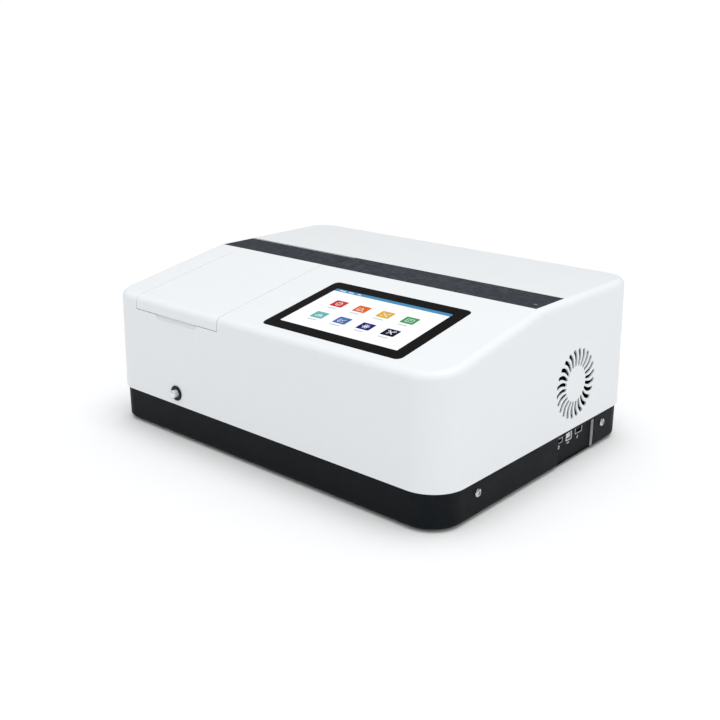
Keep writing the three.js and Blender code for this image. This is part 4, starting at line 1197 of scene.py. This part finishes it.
def make_power_entry():
    flange_back = tray_back + gap
    flange_front = inlet_high.y
    flange = extrude("inlet_flange", rounded(48, 31, 3, (inlet_x, inlet_z)), flange_back, flange_front, "y")
    body = block("inlet_body", (inlet_x - 19, inlet_low.y, inlet_z - 13.5),
                 (inlet_x + 19, flange_back + 1, inlet_z + 13.5))
    plug_z = inlet_z + (27 - 16.4) / 2 - 1
    drawer_low, drawer_high = corners("fuse_drawer")
    drawer_z = (drawer_low.z + drawer_high.z) / 2
    cavity = [(-12.5, -8.2), (12.5, -8.2), (12.5, 4.6), (8.9, 8.2), (-8.9, 8.2), (-12.5, 4.6)]
    cavity = [(inlet_x + a, plug_z + b) for a, b in cavity]
    tools = [
        extrude("cavity", cavity, flange_front - 16, flange_front + 5, "y"),
        block("drawer_seat", (drawer_low.x - gap, drawer_low.y - 1, drawer_low.z - gap),
              (drawer_high.x + gap, flange_front + 5, drawer_high.z + gap)),
    ]
    for side in (-1, 1):
        tools.append(extrude("ear_hole", circle(1.6, 20, (inlet_x + side * 21.4, inlet_z)),
                             flange_back - 1, flange_front + 1, "y"))
    inlet = cut(join(flange, body), *tools)
    inlet.name = "mains_inlet"
    soften(inlet, 0.25, 2)
    dress(inlet, BLACK_PLASTIC, "housing", ["power_inlet"])

    blades = []
    for a, b in ((-7, 1), (0, -3), (7, 1)):
        blades.append(rounded(2, 4, 0.3, (inlet_x + a, plug_z + b), 3))
    pins = extrude_all("inlet_pins", blades, flange_front - 16.5, flange_front - 5.5, "y")
    soften(pins, 0.25, 2)
    dress(pins, BRIGHT_STEEL, "housing")

    for side in (-1, 1):
        at = (inlet_x + side * 21.4, inlet_z)
        head = [(2.3, flange_front - 0.3), (2.3, flange_front + 0.1), (1.9, flange_front + 0.45),
                (1.2, flange_front + 0.62), (0.2, flange_front + 0.68)]
        screw = lathe(f"inlet_screw_{'left' if side < 0 else 'right'}", head, "y", at, 32)
        slot = extrude("slot", rounded(3.4, 0.6, 0.2, at, 2), flange_front + 0.25, flange_front + 2, "y")
        cut(screw, slot)
        soften(screw, 0.06, 2)
        dress(screw, BRIGHT_STEEL, "housing")

    drawer = extrude("fuse_carrier", rounded(drawer_high.x - drawer_low.x, drawer_high.z - drawer_low.z, 0.6,
                     (inlet_x, drawer_z), 4), drawer_low.y, drawer_high.y, "y")
    cut(drawer, block("nail_slot", (inlet_x - 4, drawer_high.y - 0.8, drawer_high.z - 1.6),
                      (inlet_x + 4, drawer_high.y + 1, drawer_high.z + 1)))
    soften(drawer, 0.2, 2)
    dress(drawer, BLACK_PLASTIC, "housing", ["fuse_drawer"])


# ---------------------------------------------------------------- nodes kept from the frame

KEPT = {
    "bright": (BRIGHT_STEEL, 0.2, [
        "hinge_pin", "hinge_bracket_left", "hinge_bracket_right", "hinge_leaf_left", "hinge_leaf_right",
        "entrance_slit", "exit_slit",
    ]),
    "rails": (RAIL_STEEL, 0.2, ["guide_rail_left", "guide_rail_right", "pull_rod"]),
    "slate": (STRIP_SLATE, 0.25, ["hinge_rail"]),
    "anodised": (ANODISED, 0.4, [
        "sample_well", "hinge_channel", "cuvette_carriage", "monochromator_housing",
        "detector_housing", "filter_wheel",
    ]),
    "plastic": (BLACK_PLASTIC, 0.3, [
        "lid_liner", "fan_frame", "fan_rotor", "switch_frame", "power_rocker", "grating_motor",
        "filter_motor",
    ]),
    "aluminium": (ALUMINIUM, 0.4, ["optical_bench", "lamp_housing", "grating_table", "power_supply"]),
    "mirrors": (MIRROR, 0.2, [
        "entry_fold_mirror", "exit_fold_mirror", "collimating_mirror", "focusing_mirror",
        "diffraction_grating", "lamp_mirror",
    ]),
    "lamps": (LAMP_GLASS, 0.3, ["deuterium_lamp", "tungsten_lamp"]),
    "board": (BOARD_GREEN, 0.2, ["main_board"]),
    "display": (BLACK_PLASTIC, 0.3, ["lcd_module"]),
}


def dress_kept_nodes():
    for material, edge, names in KEPT.values():
        for name in names:
            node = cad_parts[name]
            node.data.materials.clear()
            node.data.materials.append(material)
            soften(node, edge, 2)


# ---------------------------------------------------------------- floor, light and camera


def make_stage():
    size = 6000
    floor = block("studio_floor", (-size, -size, -20), (size, size, 0))
    pale, tree, surface = shader("pale_floor", Roughness=0.85, Specular_IOR_Level=0.1)
    tone = add_group(tree, UNEVEN_TONE, Color=(0.745, 0.75, 0.755, 1), Patch_Scale=3.0, Amount=0.01)
    wire(tree, tone, "Color", surface, "Base Color")
    floor.data.materials.append(pale)


def area_light(name, size, power, position, target):
    light = bpy.data.lights.new(name, "AREA")
    light.shape = "RECTANGLE"
    light.size = size[0]
    light.size_y = size[1]
    light.energy = power
    lamp = bpy.data.objects.new(name, light)
    lamp.location = position
    lamp.rotation_euler = (Vector(target) - Vector(position)).to_track_quat("-Z", "Y").to_euler()
    scene.collection.objects.link(lamp)


def sun_light(name, power, spread, heading):
    sun = bpy.data.lights.new(name, "SUN")
    sun.energy = power
    sun.angle = math.radians(spread)
    lamp = bpy.data.objects.new(name, sun)
    lamp.rotation_euler = Vector(heading).to_track_quat("-Z", "Y").to_euler()
    scene.collection.objects.link(lamp)


def make_light():
    world = bpy.data.worlds.new("studio")
    scene.world = world
    world.use_nodes = True
    tree = world.node_tree
    around = tree.nodes["Background"]
    around.inputs["Color"].default_value = (1, 1, 1, 1)
    path = tree.nodes.new("ShaderNodeLightPath")
    seen = range_node(tree, (path, "Is Camera Ray"), 0, 1, 1.0, 1.02)
    mirrored = range_node(tree, (path, "Is Glossy Ray"), 0, 1, 1.0, 0.15)
    strength = math_node(tree, "MULTIPLY", (seen, "Result"), (mirrored, "Result"))
    wire(tree, strength, 0, around, "Strength")
    sun_light("overhead", 1.3, 40, (-0.15, 0.0, -1.0))
    area_light("soft_right", (0.5, 0.5), 0.35, (1.0, -0.2, 0.5), (0.237, -0.1, 0.1))


def make_camera():
    lens = bpy.data.cameras.new("product_view")
    lens.sensor_width = 36
    lens.lens = 50.41
    camera = bpy.data.objects.new("product_view", lens)
    yaw = math.radians(41.46)
    pitch = math.radians(18.47)
    camera.location = (0.7207, -0.8261, 0.4449)
    heading = Vector((-math.sin(yaw) * math.cos(pitch), math.cos(yaw) * math.cos(pitch), -math.sin(pitch)))
    camera.rotation_euler = heading.to_track_quat("-Z", "Y").to_euler()
    scene.collection.objects.link(camera)
    scene.camera = camera


make_camera()
make_stage()
make_light()
scene.view_settings.view_transform = "Standard"

make_cover()
make_lid()
make_tray()
make_name_strip()
make_screen()
make_knob_and_collar()
make_side_screws()
make_feet()
make_connector_panel()
make_ports()
make_power_entry()
dress_kept_nodes()

bpy.context.view_layer.update()
